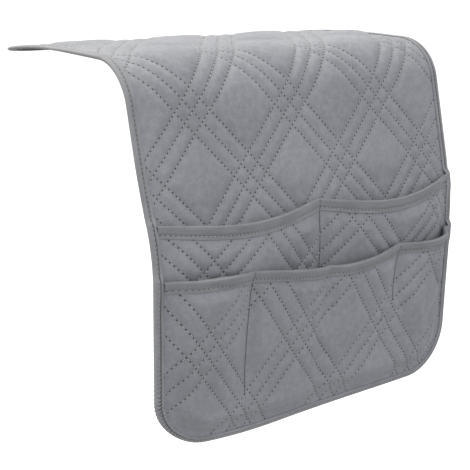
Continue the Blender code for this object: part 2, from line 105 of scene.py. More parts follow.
@dataclass(frozen=True)
class Drape:
    """The cut of the cloth and its path: straight, a lean, straight, the shoulder, a flat seat on
    the armrest, and down the armrest's crown."""

    width: float = 0.320
    corner_radius: float = 0.045
    hang_length: float = 0.143
    lean_angle: float = math.radians(15)
    lean_radius: float = 0.134
    lean_length: float = 0.090
    shoulder_radius: float = 0.039
    seat_length: float = 0.050
    crown_length: float = 0.130
    crown_angle: float = math.radians(12.3)
    bend_above: float = 0.034
    bend_below: float = 0.045
    corner_rise: float = 0.012
    rise_width: float = 0.120
    rise_height: float = 0.100
    sway_height: float = 0.0008
    sway_width: float = 0.23
    sway_start: float = 0.05
    sway_slant: float = 13.0
    sway_below: float = 0.17
    gather_depth: float = 0.00065
    gather_pitch: float = 0.0038
    gather_at: float = 0.022
    gather_reach: float = 0.046
    gather_drift: float = 0.5
    drift_length: float = 0.0031
    gather_edge: float = 0.004
    gather_fade: float = 0.010
    pulled_in: float = 0.0034
    pulled_left_of: float = 0.150
    pulled_below: float = 0.235
    pulled_fade: float = 0.100
    pushed_out: float = 0.0020
    pushed_right_of: float = 0.180
    pushed_rise: float = 0.140
    pushed_above: float = 0.150
    pushed_above_fade: float = 0.050
    pushed_below: float = 0.340
    pushed_below_fade: float = 0.060

    @property
    def shoulder_angle(self) -> float:
        """Turn of the cloth over the armrest's edge."""
        return math.pi / 2 - self.lean_angle

    @property
    def runs(self) -> tuple[tuple[float, float], ...]:
        """Length and turn of each stretch, from the bottom edge up."""
        return (
            (self.hang_length, 0.0),
            (self.lean_radius * self.lean_angle, self.lean_angle),
            (self.lean_length, 0.0),
            (self.shoulder_radius * self.shoulder_angle, self.shoulder_angle),
            (self.seat_length, 0.0),
            (self.crown_length, self.crown_angle),
        )

    @property
    def length(self) -> float:
        """Length of the flat cloth."""
        return sum(length for length, _ in self.runs)

    @property
    def perimeter(self) -> float:
        """Length of the outline of the flat cloth."""
        return 2 * (self.width + self.length) - (8 - 2 * math.pi) * self.corner_radius

    @property
    def fold_high(self) -> float:
        """Where the shoulder meets the top panel."""
        return self.length - self.crown_length - self.seat_length

    @property
    def fold_low(self) -> float:
        """Where the shoulder meets the hanging panel."""
        return self.fold_high - self.shoulder_radius * self.shoulder_angle

    def path(self, s: Field) -> tuple[Field, Field, Field]:
        """Follow the back of the cloth up from the bottom edge.

        Args:
            s: distances up the cloth.

        Returns:
            y, z and the slope of the cloth at each distance.
        """
        left = np.array(s, float)
        y, z = np.zeros_like(left), np.zeros_like(left)
        slope = np.full_like(left, math.pi / 2)
        for index, (length, turn) in enumerate(self.runs):
            run = left if index == len(self.runs) - 1 else np.minimum(left, length)
            if turn:
                radius = length / turn
                after = slope - run / radius
                y = y + radius * (np.sin(slope) - np.sin(after))
                z = z + radius * (np.cos(after) - np.cos(slope))
                slope = after
            else:
                y = y + run * np.cos(slope)
                z = z + run * np.sin(slope)
            left = left - run
        return y, z, slope

    def edge_distance(self, u: Field, s: Field) -> Field:
        """Measure in from the outline, a rectangle with round corners.

        Args:
            u: distances across the cloth.
            s: distances up the cloth.

        Returns:
            Distance to the outline, above 0 inside it.
        """
        radius = self.corner_radius
        across = np.abs(u - self.width / 2) - (self.width / 2 - radius)
        along = np.abs(s - self.length / 2) - (self.length / 2 - radius)
        outside = np.hypot(np.maximum(across, 0.0), np.maximum(along, 0.0))
        return radius - outside - np.minimum(np.maximum(across, along), 0.0)

    def sway(self, u: Field, s: Field) -> Field:
        """Slow waves of the hanging cloth, which die away where it leans on the armrest."""
        turn = 2 * np.pi * (u / self.sway_width + self.sway_start) + self.sway_slant * s
        wave = np.sin(turn)
        return self.sway_height * ease(1 - s / self.sway_below) * (1 + wave)

    def pucker(self, u: Field, s: Field) -> Field:
        """Find the wave of an edge drawn up in small gathers round the bottom left corner.

        Args:
            u: distances across the cloth.
            s: distances up the cloth.

        Returns:
            -1 to 1, and 0 away from the corner.
        """
        radius = self.corner_radius
        turn = np.arctan2(np.maximum(radius - s, 0.0), np.maximum(radius - u, 1e-6))
        place = np.where(s >= radius, s - radius, -radius * turn)
        place = np.where(u >= radius, -radius * math.pi / 2 - (u - radius), place)
        corner = (u < self.width / 2) & (s < self.length / 2)
        window = np.exp(-(((place + self.gather_at) / self.gather_reach) ** 2)) * corner
        drift = self.gather_drift * np.sin(place / self.drift_length)
        return window * np.sin(2 * np.pi * place / self.gather_pitch + drift)

    def gathers(self, u: Field, s: Field) -> Field:
        """Height of the gathers, which die away inside the edge."""
        inside = 1 - ease((self.edge_distance(u, s) - self.gather_edge) / self.gather_fade)
        return self.gather_depth * inside * self.pucker(u, s)

    def side_shift(self, u: Field, s: Field) -> Field:
        """Find how the sewn pockets draw the left edge in and let the right one spread above them.

        Args:
            u: distances across the cloth.
            s: distances up the cloth.

        Returns:
            Shift to the right.
        """
        left = ease((self.pulled_left_of - u) / self.pulled_left_of)
        left = left * ease((self.pulled_below - s) / self.pulled_fade)
        right = ease((u - self.pushed_right_of) / self.pushed_rise)
        right = right * ease((s - self.pushed_above) / self.pushed_above_fade)
        right = right * ease((self.pushed_below - s) / self.pushed_below_fade)
        return self.pulled_in * left + self.pushed_out * right

    def place(self, u: Field, s: Field, n: Field) -> Field:
        """Hang flat points.

        Args:
            u: distances across the cloth.
            s: distances up the cloth.
            n: heights above the back of the cloth.

        Returns:
            Points in the frame of the CAD model, one to a row.
        """
        across = np.maximum(1 - u / self.rise_width, 0.0)
        up = np.maximum(1 - s / self.rise_height, 0.0)
        y, z, slope = self.path(s + self.corner_rise * across**2 * up**2)
        origin_y, origin_z, _ = self.path(np.array([self.fold_high + self.seat_length / 2]))
        height = n + self.sway(u, s) + self.gathers(u, s)
        return np.stack(
            (
                u - self.width / 2 + self.side_shift(u, s),
                y - height * np.sin(slope) - origin_y[0],
                z + height * np.cos(slope) - origin_z[0],
            ),
            axis=-1,
        )

    def round_corner(self, u: Field, s: Field) -> tuple[Field, Field]:
        """Move grid points near a square corner onto rings that run round the corner.

        Args:
            u: distances across the cloth.
            s: distances up the cloth.

        Returns:
            The moved u and s.
        """
        radius = self.corner_radius
        across = np.minimum(u, self.width - u)
        along = np.minimum(s, self.length - s)
        near = (across < radius) & (along < radius)
        ring = np.minimum(across, along)
        room = np.where(near, radius - ring, 1.0)
        angle = math.pi / 4 * (1 + (across - along) / room)
        across = np.where(near, radius - room * np.cos(angle), across)
        along = np.where(near, radius - room * np.sin(angle), along)
        u = np.where(u < self.width / 2, across, self.width - across)
        s = np.where(s < self.length / 2, along, self.length - along)
        return u, s

    def outline(self, step: float) -> tuple[Field, Field, Field, Field]:
        """Set stations round the outline, clockwise as seen from the front.

        Args:
            step: distance between stations.

        Returns:
            u, s, and the inward direction (in u, in s) at each station.
        """
        radius, width, length = self.corner_radius, self.width, self.length
        quarter = np.linspace(0, math.pi / 2, round(radius * math.pi / 2 / step), endpoint=False)
        up = np.linspace(radius, length - radius, round((length - 2 * radius) / step), endpoint=False)
        over = np.linspace(radius, width - radius, round((width - 2 * radius) / step), endpoint=False)
        cos, sin = np.cos(quarter), np.sin(quarter)
        none, one = np.zeros_like, np.ones_like
        parts = (
            (none(up), up, one(up), none(up)),
            (radius - radius * cos, length - radius + radius * sin, cos, -sin),
            (over, length * one(over), none(over), -one(over)),
            (width - radius + radius * sin, length - radius + radius * cos, -sin, -cos),
            (width * one(up), length - up, -one(up), none(up)),
            (width - radius + radius * cos, radius - radius * sin, -cos, sin),
            (width - over, none(over), none(over), one(over)),
            (radius - radius * sin, radius - radius * cos, sin, cos),
        )
        return tuple(np.concatenate(columns) for columns in zip(*parts))

    def bend(self, piece: bpy.types.Object) -> None:
        """Bake the placement of a piece that crosses the armrest's edge into its mesh.

        Args:
            piece: finished piece, part of it on each body.
        """
        reach = np.array([self.fold_high + self.bend_above, self.fold_low - self.bend_below])
        start, end = self.place(np.full(2, self.width / 2), reach, np.zeros(2))
        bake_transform(piece)


@dataclass(frozen=True)
class Rows:
    """One family of parallel rows of stitching, sewn in threes.

    A point's share counts repeats of the family, and is whole on the middle row of each three.
    """

    across: float
    up: float
    shift: float

    @property
    def span(self) -> float:
        """Distance between like rows, square to them."""
        return 1 / math.hypot(1 / self.across, 1 / self.up)

    @property
    def run(self) -> tuple[float, float]:
        """Direction of the rows, in u and s."""
        return self.span / self.up, -self.span / self.across

    def share(self, u: Field, s: Field) -> Field:
        """Place of a point in the family, in repeats."""
        return u / self.across + s / self.up - self.shift

    def repeat(self, other: "Rows") -> float:
        """Length of a row between two like rows of the other family."""
        return 1 / abs(self.run[0] / other.across + self.run[1] / other.up)


@dataclass(frozen=True)
class Quilting:
    """Rows of stitching in threes, both ways across the cloth, round large diamonds."""

    falling: Rows
    rising: Rows
    steps: int = 6
    stitches: int = 18
    groove: float = 0.0060
    round_bottom: float = 0.0008
    crown_power: float = 0.8
    askew: float = 0.20
    askew_from: float = 0.305

    def aside(self, s: Field) -> Field:
        """How far the rows stand aside where the cloth is pulled askew on the armrest."""
        return self.askew * np.maximum(s - self.askew_from, 0.0)

    def gap(self, rows: Rows, u: Field, s: Field) -> Field:
        """Measure to the nearest row of one family.

        Args:
            rows: the family.
            u: distances across the cloth.
            s: distances up the cloth.

        Returns:
            Distance to the row.
        """
        share = rows.share(u + self.aside(s), s)
        turn = share - np.round(share)
        row = np.clip(np.round(turn * self.steps), -1, 1) / self.steps
        return np.abs(turn - row) * rows.span

    def rib(self, u: Field, s: Field) -> Field:
        """Find the soft rise between the rows.

        Args:
            u: distances across the cloth.
            s: distances up the cloth.

        Returns:
            0 on a row, 1 away from it.
        """
        rise = 1.0
        for rows in (self.falling, self.rising):
            away = np.hypot(self.gap(rows, u, s), self.round_bottom) - self.round_bottom
            rise = rise * (1 - (1 - np.minimum(away / self.groove, 1.0)) ** 2)
        return rise

    def dome(self, u: Field, s: Field) -> Field:
        """Find the crown of the large diamonds.

        Args:
            u: distances across the cloth.
            s: distances up the cloth.

        Returns:
            0 on the rows round a diamond, 1 in the middle of it.
        """
        crown = 1.0
        for rows in (self.falling, self.rising):
            inner = (rows.share(u + self.aside(s), s) % 1.0 - 1 / self.steps) / (1 - 2 / self.steps)
            crown = crown * np.sin(math.pi * np.clip(inner, 0.0, 1.0)) ** self.crown_power
        return crown

    def crossing(self, falling: Field, rising: Field) -> tuple[Field, Field]:
        """Find the point of the flat cloth that has two shares.

        Args:
            falling: shares of the falling rows.
            rising: shares of the rising rows.

        Returns:
            u and s of each point.
        """
        first, second = self.falling, self.rising
        falling, rising = falling + first.shift, rising + second.shift
        scale = 1 / (first.across * second.up) - 1 / (first.up * second.across)
        u = (falling / second.up - rising / first.up) / scale
        s = (rising / first.across - falling / second.across) / scale
        return u - self.aside(s), s

    def stitch_places(self, low: float, high: float, width: float) -> tuple[Field, Field, Field, Field]:
        """Set out the stitches on a strip of cloth.

        Args:
            low: lower end of the strip.
            high: upper end of the strip.
            width: width of the cloth.

        Returns:
            u, s, and the direction (u, s) of each stitch.
        """
        corner_s = np.array([low, high, low, high])
        corner_u = np.array([0.0, 0.0, width, width]) + self.aside(corner_s)
        found = []
        for sewn, other in ((self.falling, self.rising), (self.rising, self.falling)):
            ends, walked = sewn.share(corner_u, corner_s), other.share(corner_u, corner_s)
            whole = np.arange(math.floor(ends.min()) - 1, math.ceil(ends.max()) + 2)
            row = np.concatenate([whole + step / self.steps for step in (-1, 0, 1)])
            first, last = (math.floor(end * self.stitches) for end in (walked.min(), walked.max()))
            walk = (np.arange(first - 1, last + 2) + 0.5) / self.stitches
            row, walk = (axis.ravel() for axis in np.meshgrid(row, walk))
            u, s = self.crossing(row, walk) if sewn is self.falling else self.crossing(walk, row)
            keep = (u > 0) & (u < width) & (s > low) & (s < high)
            u, s = u[keep], s[keep]
            to_u, to_s = sewn.run
            to_u = to_u - self.askew * to_s * (s > self.askew_from)
            size = np.hypot(to_u, to_s)
            found.append((u, s, to_u / size, to_s / size))
        return tuple(np.concatenate(columns) for columns in zip(*found))


@dataclass(frozen=True)
class Crease:
    """A soft fold that the cloth takes along a short line: proud if rise is above 0."""

    start: tuple[float, float]
    end: tuple[float, float]
    rise: float
    spread: float

    def lift(self, u: Field, s: Field) -> Field:
        """Find the height that the fold adds.

        Args:
            u: distances across the cloth.
            s: distances up the cloth.

        Returns:
            Height at each point, 0 at the ends of the line.
        """
        run_u, run_s = self.end[0] - self.start[0], self.end[1] - self.start[1]
        square = run_u**2 + run_s**2
        share = ((u - self.start[0]) * run_u + (s - self.start[1]) * run_s) / square
        share = np.clip(share, 0.0, 1.0)
        off = np.hypot(u - self.start[0] - share * run_u, s - self.start[1] - share * run_s)
        return self.rise * 4 * share * (1 - share) * np.exp(-((off / self.spread) ** 2))


def rumple(u: Field, s: Field, seed: int, depth: float) -> Field:
    """Make the shallow random unevenness of handled cloth, the same in every run.

    Args:
        u: distances across the cloth.
        s: distances up the cloth.
        seed: start of the random draws.
        depth: height of the unevenness.

    Returns:
        Height at each point.
    """
    random = np.random.default_rng(seed)
    height = np.zeros_like(u)
    sizes, waves = (0.060, 0.036, 0.022, 0.013), 4
    for size in sizes:
        for _ in range(waves):
            angle, start = random.uniform(0, 2 * np.pi, 2)
            wave = 2 * np.pi * (u * np.cos(angle) + s * np.sin(angle)) / size
            height = height + size / sizes[0] * np.sin(wave + start)
    return depth * height / waves


# Making meshes


def points_of(mesh: bpy.types.Mesh) -> Field:
    """Read the vertex places of a mesh.

    Args:
        mesh: the mesh.

    Returns:
        One point to a row.
    """
    points = np.empty(len(mesh.vertices) * 3, np.float32)
    mesh.vertices.foreach_get("co", points)
    return points.reshape(-1, 3).astype(float)


def move_points(mesh: bpy.types.Mesh, points: Field) -> None:
    """Give a mesh new vertex places."""
    mesh.vertices.foreach_set("co", points.astype(np.float32).ravel())
    mesh.update()


def write_flat_map(mesh: bpy.types.Mesh, across: Field, along: Field) -> None:
    """Store the flat place of each vertex as the UV map "flat", in metres.

    Args:
        mesh: the mesh.
        across: first coordinate of each vertex.
        along: second coordinate of each vertex.
    """
    corner = np.empty(len(mesh.loops), np.int32)
    mesh.loops.foreach_get("vertex_index", corner)
    layer = mesh.uv_layers.new(name="flat")
    flat = np.stack((across[corner], along[corner]), axis=-1).astype(np.float32)
    layer.data.foreach_set("uv", flat.ravel())


def smooth(mesh: bpy.types.Mesh) -> None:
    """Shade a mesh smoothly, but for its sharp edges."""
    mesh.shade_smooth()
    mesh.set_sharp_from_angle(angle=SMOOTH_BELOW)


def new_piece(name: str, shape: bmesh.types.BMesh) -> bpy.types.Object:
    """Turn a shape into a named object in the scene.

    Args:
        name: name of the piece.
        shape: finished shape, which is freed.

    Returns:
        The new object.
    """
    mesh = bpy.data.meshes.new(name)
    shape.to_mesh(mesh)
    shape.free()
    piece = bpy.data.objects.new(name, mesh)
    bpy.context.scene.collection.objects.link(piece)
    return piece


def copies(name: str, pattern: bmesh.types.BMesh, count: int) -> tuple[bpy.types.Object, Field]:
    """Make one piece of many copies of a small shape, still all in one place.

    Args:
        name: name of the piece.
        pattern: the small shape, which is freed.
        count: number of copies.

    Returns:
        The piece, and the vertex places of one copy.
    """
    mesh = bpy.data.meshes.new("pattern")
    pattern.to_mesh(mesh)
    pattern.free()
    form = points_of(mesh)
    shape = bmesh.new()
    for _ in range(count):
        shape.from_mesh(mesh)
    bpy.data.meshes.remove(mesh)
    return new_piece(name, shape), form


def cloth_solid(
    name: str, drape: Drape, columns: Field, rows: Field, lower: Surface, upper: Surface,
    follow: Surface | None = None,
) -> bpy.types.Object:
    """Make one layer of cloth, closed round its edges, between two surfaces.

    Args:
        name: name of the piece.
        drape: how the cloth hangs.
        columns: upright grid lines of the flat cloth.
        rows: level grid lines of the flat cloth.
        lower: height of the underside.
        upper: height of the top side.
        follow: where a level line goes so that it runs along a pocket mouth.

    Returns:
        The finished layer.
    """
    shape = bmesh.new()
    across, along = len(columns) - 1, len(rows) - 1
    bmesh.ops.create_grid(shape, x_segments=across, y_segments=along, size=0.5)
    grown = bmesh.ops.extrude_face_region(shape, geom=shape.faces[:])["geom"]
    raised = [item for item in grown if isinstance(item, bmesh.types.BMVert)]
    bmesh.ops.translate(shape, verts=raised, vec=(0.0, 0.0, 1.0))
    bmesh.ops.recalc_face_normals(shape, faces=shape.faces[:])
    piece = new_piece(name, shape)
    flat = points_of(piece.data)
    u = columns[np.rint((flat[:, 0] + 0.5) * across).astype(int)]
    s = rows[np.rint((flat[:, 1] + 0.5) * along).astype(int)]
    u, s = drape.round_corner(u, s)
    if follow is not None:
        s = follow(u, s)
    n = np.where(flat[:, 2] > 0.5, upper(u, s), lower(u, s))
    move_points(piece.data, drape.place(u, s, n))
    write_flat_map(piece.data, u, s)
    smooth(piece.data)
    return piece


def tape_solid(
    name: str, drape: Drape, u: Field, s: Field, n: Field, closed: bool, stitched: float
) -> bpy.types.Object:
    """Make a folded tape from the flat places of its sections.

    Args:
        name: name of the piece.
        drape: how the cloth hangs.
        u: distances across, one row to a station and one column to a point of the section.
        s: distances up, in the same layout.
        n: heights, in the same layout.
        closed: whether the last station meets the first.
        stitched: point of the section that the line of stitching runs along, where the flat map
            is 0 across.

    Returns:
        The finished tape.
    """
    stations, points = n.shape
    shape = bmesh.new()
    runs = stations if closed else stations - 1
    bmesh.ops.create_grid(shape, x_segments=runs, y_segments=points, size=0.5)
    piece = new_piece(name, shape)
    flat = points_of(piece.data)
    column = np.rint((flat[:, 0] + 0.5) * runs).astype(int)
    row = np.rint((flat[:, 1] + 0.5) * points).astype(int)
    at = (column % stations, row % points)
    move_points(piece.data, drape.place(u[at], s[at], n[at]))
    step = np.hypot(np.diff(u[:, 0]), np.diff(s[:, 0]))
    along = np.concatenate(([0.0], np.cumsum(step), [np.sum(step) + step[-1]]))
    write_flat_map(piece.data, along[column], (row - stitched) * SECTION_STEP)
    shape = bmesh.new()
    shape.from_mesh(piece.data)
    bmesh.ops.remove_doubles(shape, verts=shape.verts[:], dist=SAME_PLACE)
    rim = [edge for edge in shape.edges if edge.is_boundary]
    if rim:
        bmesh.ops.holes_fill(shape, edges=rim, sides=points)
    bmesh.ops.recalc_face_normals(shape, faces=shape.faces[:])
    shape.to_mesh(piece.data)
    shape.free()
    smooth(piece.data)
    return piece


@dataclass(frozen=True)
class Stitch:
    """One visible stitch of sewing thread: a slim grain with both ends pulled into the cloth."""

    length: float = 0.0031
    radius: float = 0.00026
    bow: float = 0.00022
    sink: float = 0.00024
    pitch: float = 0.0034
    close_pitch: float = 0.0030

    def sew(
        self, name: str, drape: Drape, u: Field, s: Field, to_u: Field, to_s: Field, surface: Surface
    ) -> bpy.types.Object:
        """Lay a stitch at each place, along the surface.

        Args:
            name: name of the piece.
            drape: how the cloth hangs.
            u: middles of the stitches across the cloth.
            s: middles of the stitches up the cloth.
            to_u: direction of each stitch across the cloth.
            to_s: direction of each stitch up the cloth.
            surface: height of the cloth that the stitches hold.

        Returns:
            All the stitches as one piece.
        """
        grain = bmesh.new()
        bmesh.ops.create_uvsphere(grain, u_segments=5, v_segments=5, radius=1.0)
        piece, form = copies(name, grain, len(u))
        along = form[:, 2] * self.length / 2
        flat_u = u[:, None] + to_u[:, None] * along
        flat_s = s[:, None] + to_s[:, None] * along
        rise = self.bow * (1 - form[:, 2] ** 2) - self.sink * form[:, 2] ** 4
        height = surface(flat_u, flat_s) + rise + self.radius * form[:, 1]
        side_u, side_s = -to_s[:, None] * form[:, 0], to_u[:, None] * form[:, 0]
        points = drape.place(flat_u + self.radius * side_u, flat_s + self.radius * side_s, height)
        move_points(piece.data, points.reshape(-1, 3))
        piece.data.shade_smooth()
        return piece


# Finishes


def shade(colour: Colour, share: float) -> tuple[float, float, float, float]:
    """A colour made lighter or darker, with full alpha."""
    return (colour[0] * share, colour[1] * share, colour[2] * share, 1.0)


class Nodes:
    """Lays out and joins the nodes of one finish."""

    def __init__(self, name: str) -> None:
        """Start a material with its shader and output.

        Args:
            name: name of the material.
        """
        self.material = bpy.data.materials.new(name)
        self.material.use_nodes = True
        self.tree = self.material.node_tree
        self.shader = self.tree.nodes["Principled BSDF"]

    def add(self, kind: str, links: dict | None = None, **settings: object) -> bpy.types.Node:
        """Add a node.

        Args:
            kind: type of the node.
            links: inputs by name or number, each a socket or a plain value.
            settings: properties of the node.

        Returns:
            The new node.
        """
        node = self.tree.nodes.new(kind)
        for key, value in settings.items():
            setattr(node, key, value)
        for key, value in (links or {}).items():
            self.feed(node.inputs[key], value)
        return node

    def feed(self, socket: Socket, value: object) -> None:
        """Fill an input.

        Args:
            socket: the input.
            value: a socket to join it to, or a plain value.
        """
        if isinstance(value, bpy.types.NodeSocket):
            self.tree.links.new(value, socket)
        else:
            socket.default_value = value

    def sum(self, operation: str, *values: object) -> Socket:
        """Work out one step of arithmetic on sockets and numbers."""
        node = self.add("ShaderNodeMath", dict(enumerate(values)), operation=operation)
        return node.outputs[0]

    def square(self, value: Socket) -> Socket:
        """A value times itself."""
        return self.sum("MULTIPLY", value, value)

    def split(self, vector: Socket) -> tuple[Socket, Socket]:
        """First and second coordinate of a vector."""
        outputs = self.add("ShaderNodeSeparateXYZ", {0: vector}).outputs
        return outputs[0], outputs[1]

    def noise(self, vector: Socket, scale: float, detail: float = 2.0, rough: float = 0.5) -> Socket:
        """Even noise from 0 to 1."""
        links = {"Vector": vector, "Scale": scale, "Detail": detail, "Roughness": rough}
        return self.add("ShaderNodeTexNoise", links).outputs["Fac"]

    def spread(self, value: Socket, low: float, high: float, to_low: float, to_high: float) -> Socket:
        """Map a range of values smoothly onto another.

        Args:
            value: the value.
            low: start of its range.
            high: end of its range.
            to_low: start of the new range.
            to_high: end of the new range.

        Returns:
            The new value.
        """
        links = {"Value": value, "From Min": low, "From Max": high, "To Min": to_low, "To Max": to_high}
        node = self.add("ShaderNodeMapRange", links, interpolation_type="SMOOTHSTEP")
        return node.outputs["Result"]

    def blend(self, share: Socket, low: object, high: object) -> Socket:
        """Mix two colours.

        Args:
            share: 0 for the first colour, 1 for the second.
            low: first colour.
            high: second colour.

        Returns:
            The mixed colour.
        """
        node = self.add("ShaderNodeMix", data_type="RGBA")
        for key, value in (("Factor", share), (6, low), (7, high)):
            self.feed(node.inputs[key], value)
        return node.outputs[2]

    def tint(
        self, tone: Socket, colour: Colour, dark: float, light: float, low: float = 0.3, high: float = 0.7
    ) -> Socket:
        """Mottle a colour by a tone.

        Args:
            tone: the tone.
            colour: middle colour.
            dark: share of the colour at the low end.
            light: share of the colour at the high end.
            low: tone of the darkest places.
            high: tone of the lightest places.

        Returns:
            The mottled colour.
        """
        shown = self.spread(tone, low, high, 0.0, 1.0)
        return self.blend(shown, shade(colour, dark), shade(colour, light))

    def stray(self, value: Socket, middle: float, reach: float) -> Socket:
        """A number that strays from its middle with a noise."""
        return self.spread(value, 0.2, 0.8, middle - reach, middle + reach)

    def bump(
        self, height: Socket, distance: float, strength: float, under: Socket | None = None
    ) -> Socket:
        """Roughen the surface by a height.

        Args:
            height: the height, from 0 to 1.
            distance: how high 1 is.
            strength: share of the effect.
            under: relief that this one lies on.

        Returns:
            The new relief.
        """
        links = {"Height": height, "Distance": distance, "Strength": strength}
        if under is not None:
            links["Normal"] = under
        return self.add("ShaderNodeBump", links).outputs["Normal"]

    def place(self) -> Socket:
        """Object coordinates."""
        return self.add("ShaderNodeTexCoord").outputs["Object"]

    def flat(self) -> Socket:
        """Flat place on the cloth, in metres."""
        return self.add("ShaderNodeUVMap", uv_map="flat").outputs["UV"]

    def stretch(self, vector: Socket, scale: tuple[float, float, float], turn: float = 0.0) -> Socket:
        """Scale and turn coordinates."""
        links = {"Vector": vector, "Scale": scale, "Rotation": (0.0, 0.0, turn)}
        return self.add("ShaderNodeMapping", links).outputs["Vector"]

    def finish(
        self, colour: Socket, roughness: object, others: dict[str, object] | None = None
    ) -> bpy.types.Material:
        """Fill the inputs of the shader.

        Args:
            colour: colour of the surface.
            roughness: a socket or a plain value.
            others: further inputs by name.

        Returns:
            The finished material.
        """
        inputs = {"Base Color": colour, "Roughness": roughness, **(others or {})}
        for name, value in inputs.items():
            self.feed(self.shader.inputs[name], value)
        return self.material


@dataclass(frozen=True)
class Microfibre:
    """Brushed grey microfibre with the needle holes of its quilting, and shade painted into its holes,
    rows and seam ditches.
    """

    name: str
    quilting: Quilting
    colour: Colour = (0.343, 0.352, 0.398)
    roughness: float = 0.88
    sheen: float = 0.22
    sheen_tint: Colour = (0.86, 0.88, 0.94)
    hole_width: float = 0.00050
    hole_length: float = 0.00090
    hole_edge: tuple[float, float] = (0.35, 1.5)
    pressed_shade_width: float = 0.0017
    seams: tuple[float, ...] = ()
    seam_ends: tuple[float, ...] = ()
    seam_shade_width: float = 0.0008

    def rows_of_stitching(self, nodes: Nodes) -> tuple[Socket, Socket]:
        """Find the rows of the quilting from the flat place.

        Args:
            nodes: the finish that is being built.

        Returns:
            Needle holes, 1 in a hole, and the cloth that the thread holds down, 1 on a row; both set the
            relief and where shade is painted.
        """
        u, s = nodes.split(nodes.flat())
        quilting = self.quilting
        aside = nodes.sum("MAXIMUM", nodes.sum("SUBTRACT", s, quilting.askew_from), 0.0)
        drawn = nodes.sum("MULTIPLY_ADD", aside, quilting.askew, u)
        shares = []
        for rows in (quilting.falling, quilting.rising):
            across = nodes.sum("MULTIPLY", drawn, 1 / rows.across)
            along = nodes.sum("MULTIPLY_ADD", s, 1 / rows.up, across)
            shares.append(nodes.sum("SUBTRACT", along, rows.shift))
        holes, pressed_and_shade = [], []
        pairs = ((quilting.falling, quilting.rising), (quilting.rising, quilting.falling))
        for (rows, other), (row, walk) in zip(pairs, (shares, shares[::-1])):
            turn = nodes.sum("SUBTRACT", row, nodes.sum("ROUND", row))
            near = nodes.sum("ROUND", nodes.sum("MULTIPLY", turn, float(quilting.steps)))
            near = nodes.sum("MINIMUM", nodes.sum("MAXIMUM", near, -1.0), 1.0)
            gap = nodes.sum("SUBTRACT", turn, nodes.sum("DIVIDE", near, float(quilting.steps)))
            off = nodes.sum("ABSOLUTE", nodes.sum("MULTIPLY", gap, rows.span / self.pressed_shade_width))
            pressed_and_shade.append(nodes.spread(off, 0.0, 1.0, 1.0, 0.0))
            gap = nodes.sum("MULTIPLY", gap, rows.span / self.hole_width)
            step = nodes.sum("MULTIPLY", walk, float(quilting.stitches))
            slip = nodes.sum("SUBTRACT", step, nodes.sum("ROUND", step))
            slip = nodes.sum("MULTIPLY", slip, rows.repeat(other) / quilting.stitches / self.hole_length)
            away = nodes.sum("ADD", nodes.square(gap), nodes.square(slip))
            holes.append(nodes.spread(away, *self.hole_edge, 1.0, 0.0))
        return nodes.sum("MAXIMUM", *holes), nodes.sum("MAXIMUM", *pressed_and_shade)

    def paint_seam_shade(self, nodes: Nodes, cloth: Socket) -> Socket:
        """Paint shade into the cloth in the ditches of the dividing seams.

        Args:
            nodes: the finish that is being built.
            cloth: colour of the cloth.

        Returns:
            Colour of the cloth with shade painted in its ditches.
        """
        u, s = nodes.split(nodes.flat())
        for seam, end in zip(self.seams, self.seam_ends):
            off = nodes.sum("ABSOLUTE", nodes.sum("SUBTRACT", u, seam))
            # painted shade along the ditch of each dividing seam, above where the seam ends
            line = nodes.spread(off, 0.0002, self.seam_shade_width, 0.55, 0.0)
            above = nodes.spread(s, end + 0.004, end + 0.016, 0.0, 1.0)
            cloth = nodes.blend(nodes.sum("MULTIPLY", line, above), cloth, shade(self.colour, 0.16))
        return cloth

    def material(self) -> bpy.types.Material:
        """Build the finish: mottled nap, rows of stitching and needle holes with their relief and painted
        shade, and painted shade in the seam ditches.

        Returns:
            The new material.
        """
        nodes = Nodes(self.name)
        place = nodes.place()
        patches = nodes.noise(place, 16.0, 3.0, 0.55)
        nap = nodes.noise(place, 210.0, 4.0, 0.65)
        fibre = nodes.noise(place, 900.0, 3.0, 0.65)
        weave = nodes.noise(nodes.stretch(nodes.flat(), (1.0, 0.35, 1.0), 0.2), 2600.0, 1.0, 0.5)
        mottle = nodes.sum("ADD", nodes.sum("MULTIPLY", patches, 0.30), nodes.sum("MULTIPLY", nap, 0.40))
        mottle = nodes.sum("ADD", mottle, nodes.sum("MULTIPLY", fibre, 0.30))
        cloth = nodes.tint(mottle, self.colour, 0.83, 1.15, 0.34, 0.66)
        holes, pressed_and_shade = self.rows_of_stitching(nodes)
        # painted shade along the rows of stitching, where they sink into the cloth
        cloth = nodes.blend(nodes.sum("MULTIPLY", pressed_and_shade, 0.17), cloth, shade(self.colour, 0.55))
        # painted shade in the needle holes
        cloth = nodes.blend(nodes.sum("MULTIPLY", holes, 0.85), cloth, shade(self.colour, 0.12))
        relief = nodes.bump(nap, 0.0006, 0.45)
        relief = nodes.bump(weave, 0.00012, 0.55, relief)
        relief = nodes.bump(nodes.sum("SUBTRACT", 1.0, pressed_and_shade), 0.0006, 0.5, relief)
        relief = nodes.bump(nodes.sum("SUBTRACT", 1.0, holes), 0.0005, 0.8, relief)
        others = {
            "Sheen Weight": self.sheen,
            "Sheen Roughness": 0.45,
            "Sheen Tint": shade(self.sheen_tint, 1.0),
            "Specular IOR Level": 0.25,
            "Normal": relief,
        }
        roughness = nodes.stray(nap, self.roughness, 0.06)
        return nodes.finish(self.paint_seam_shade(nodes, cloth), roughness, others)


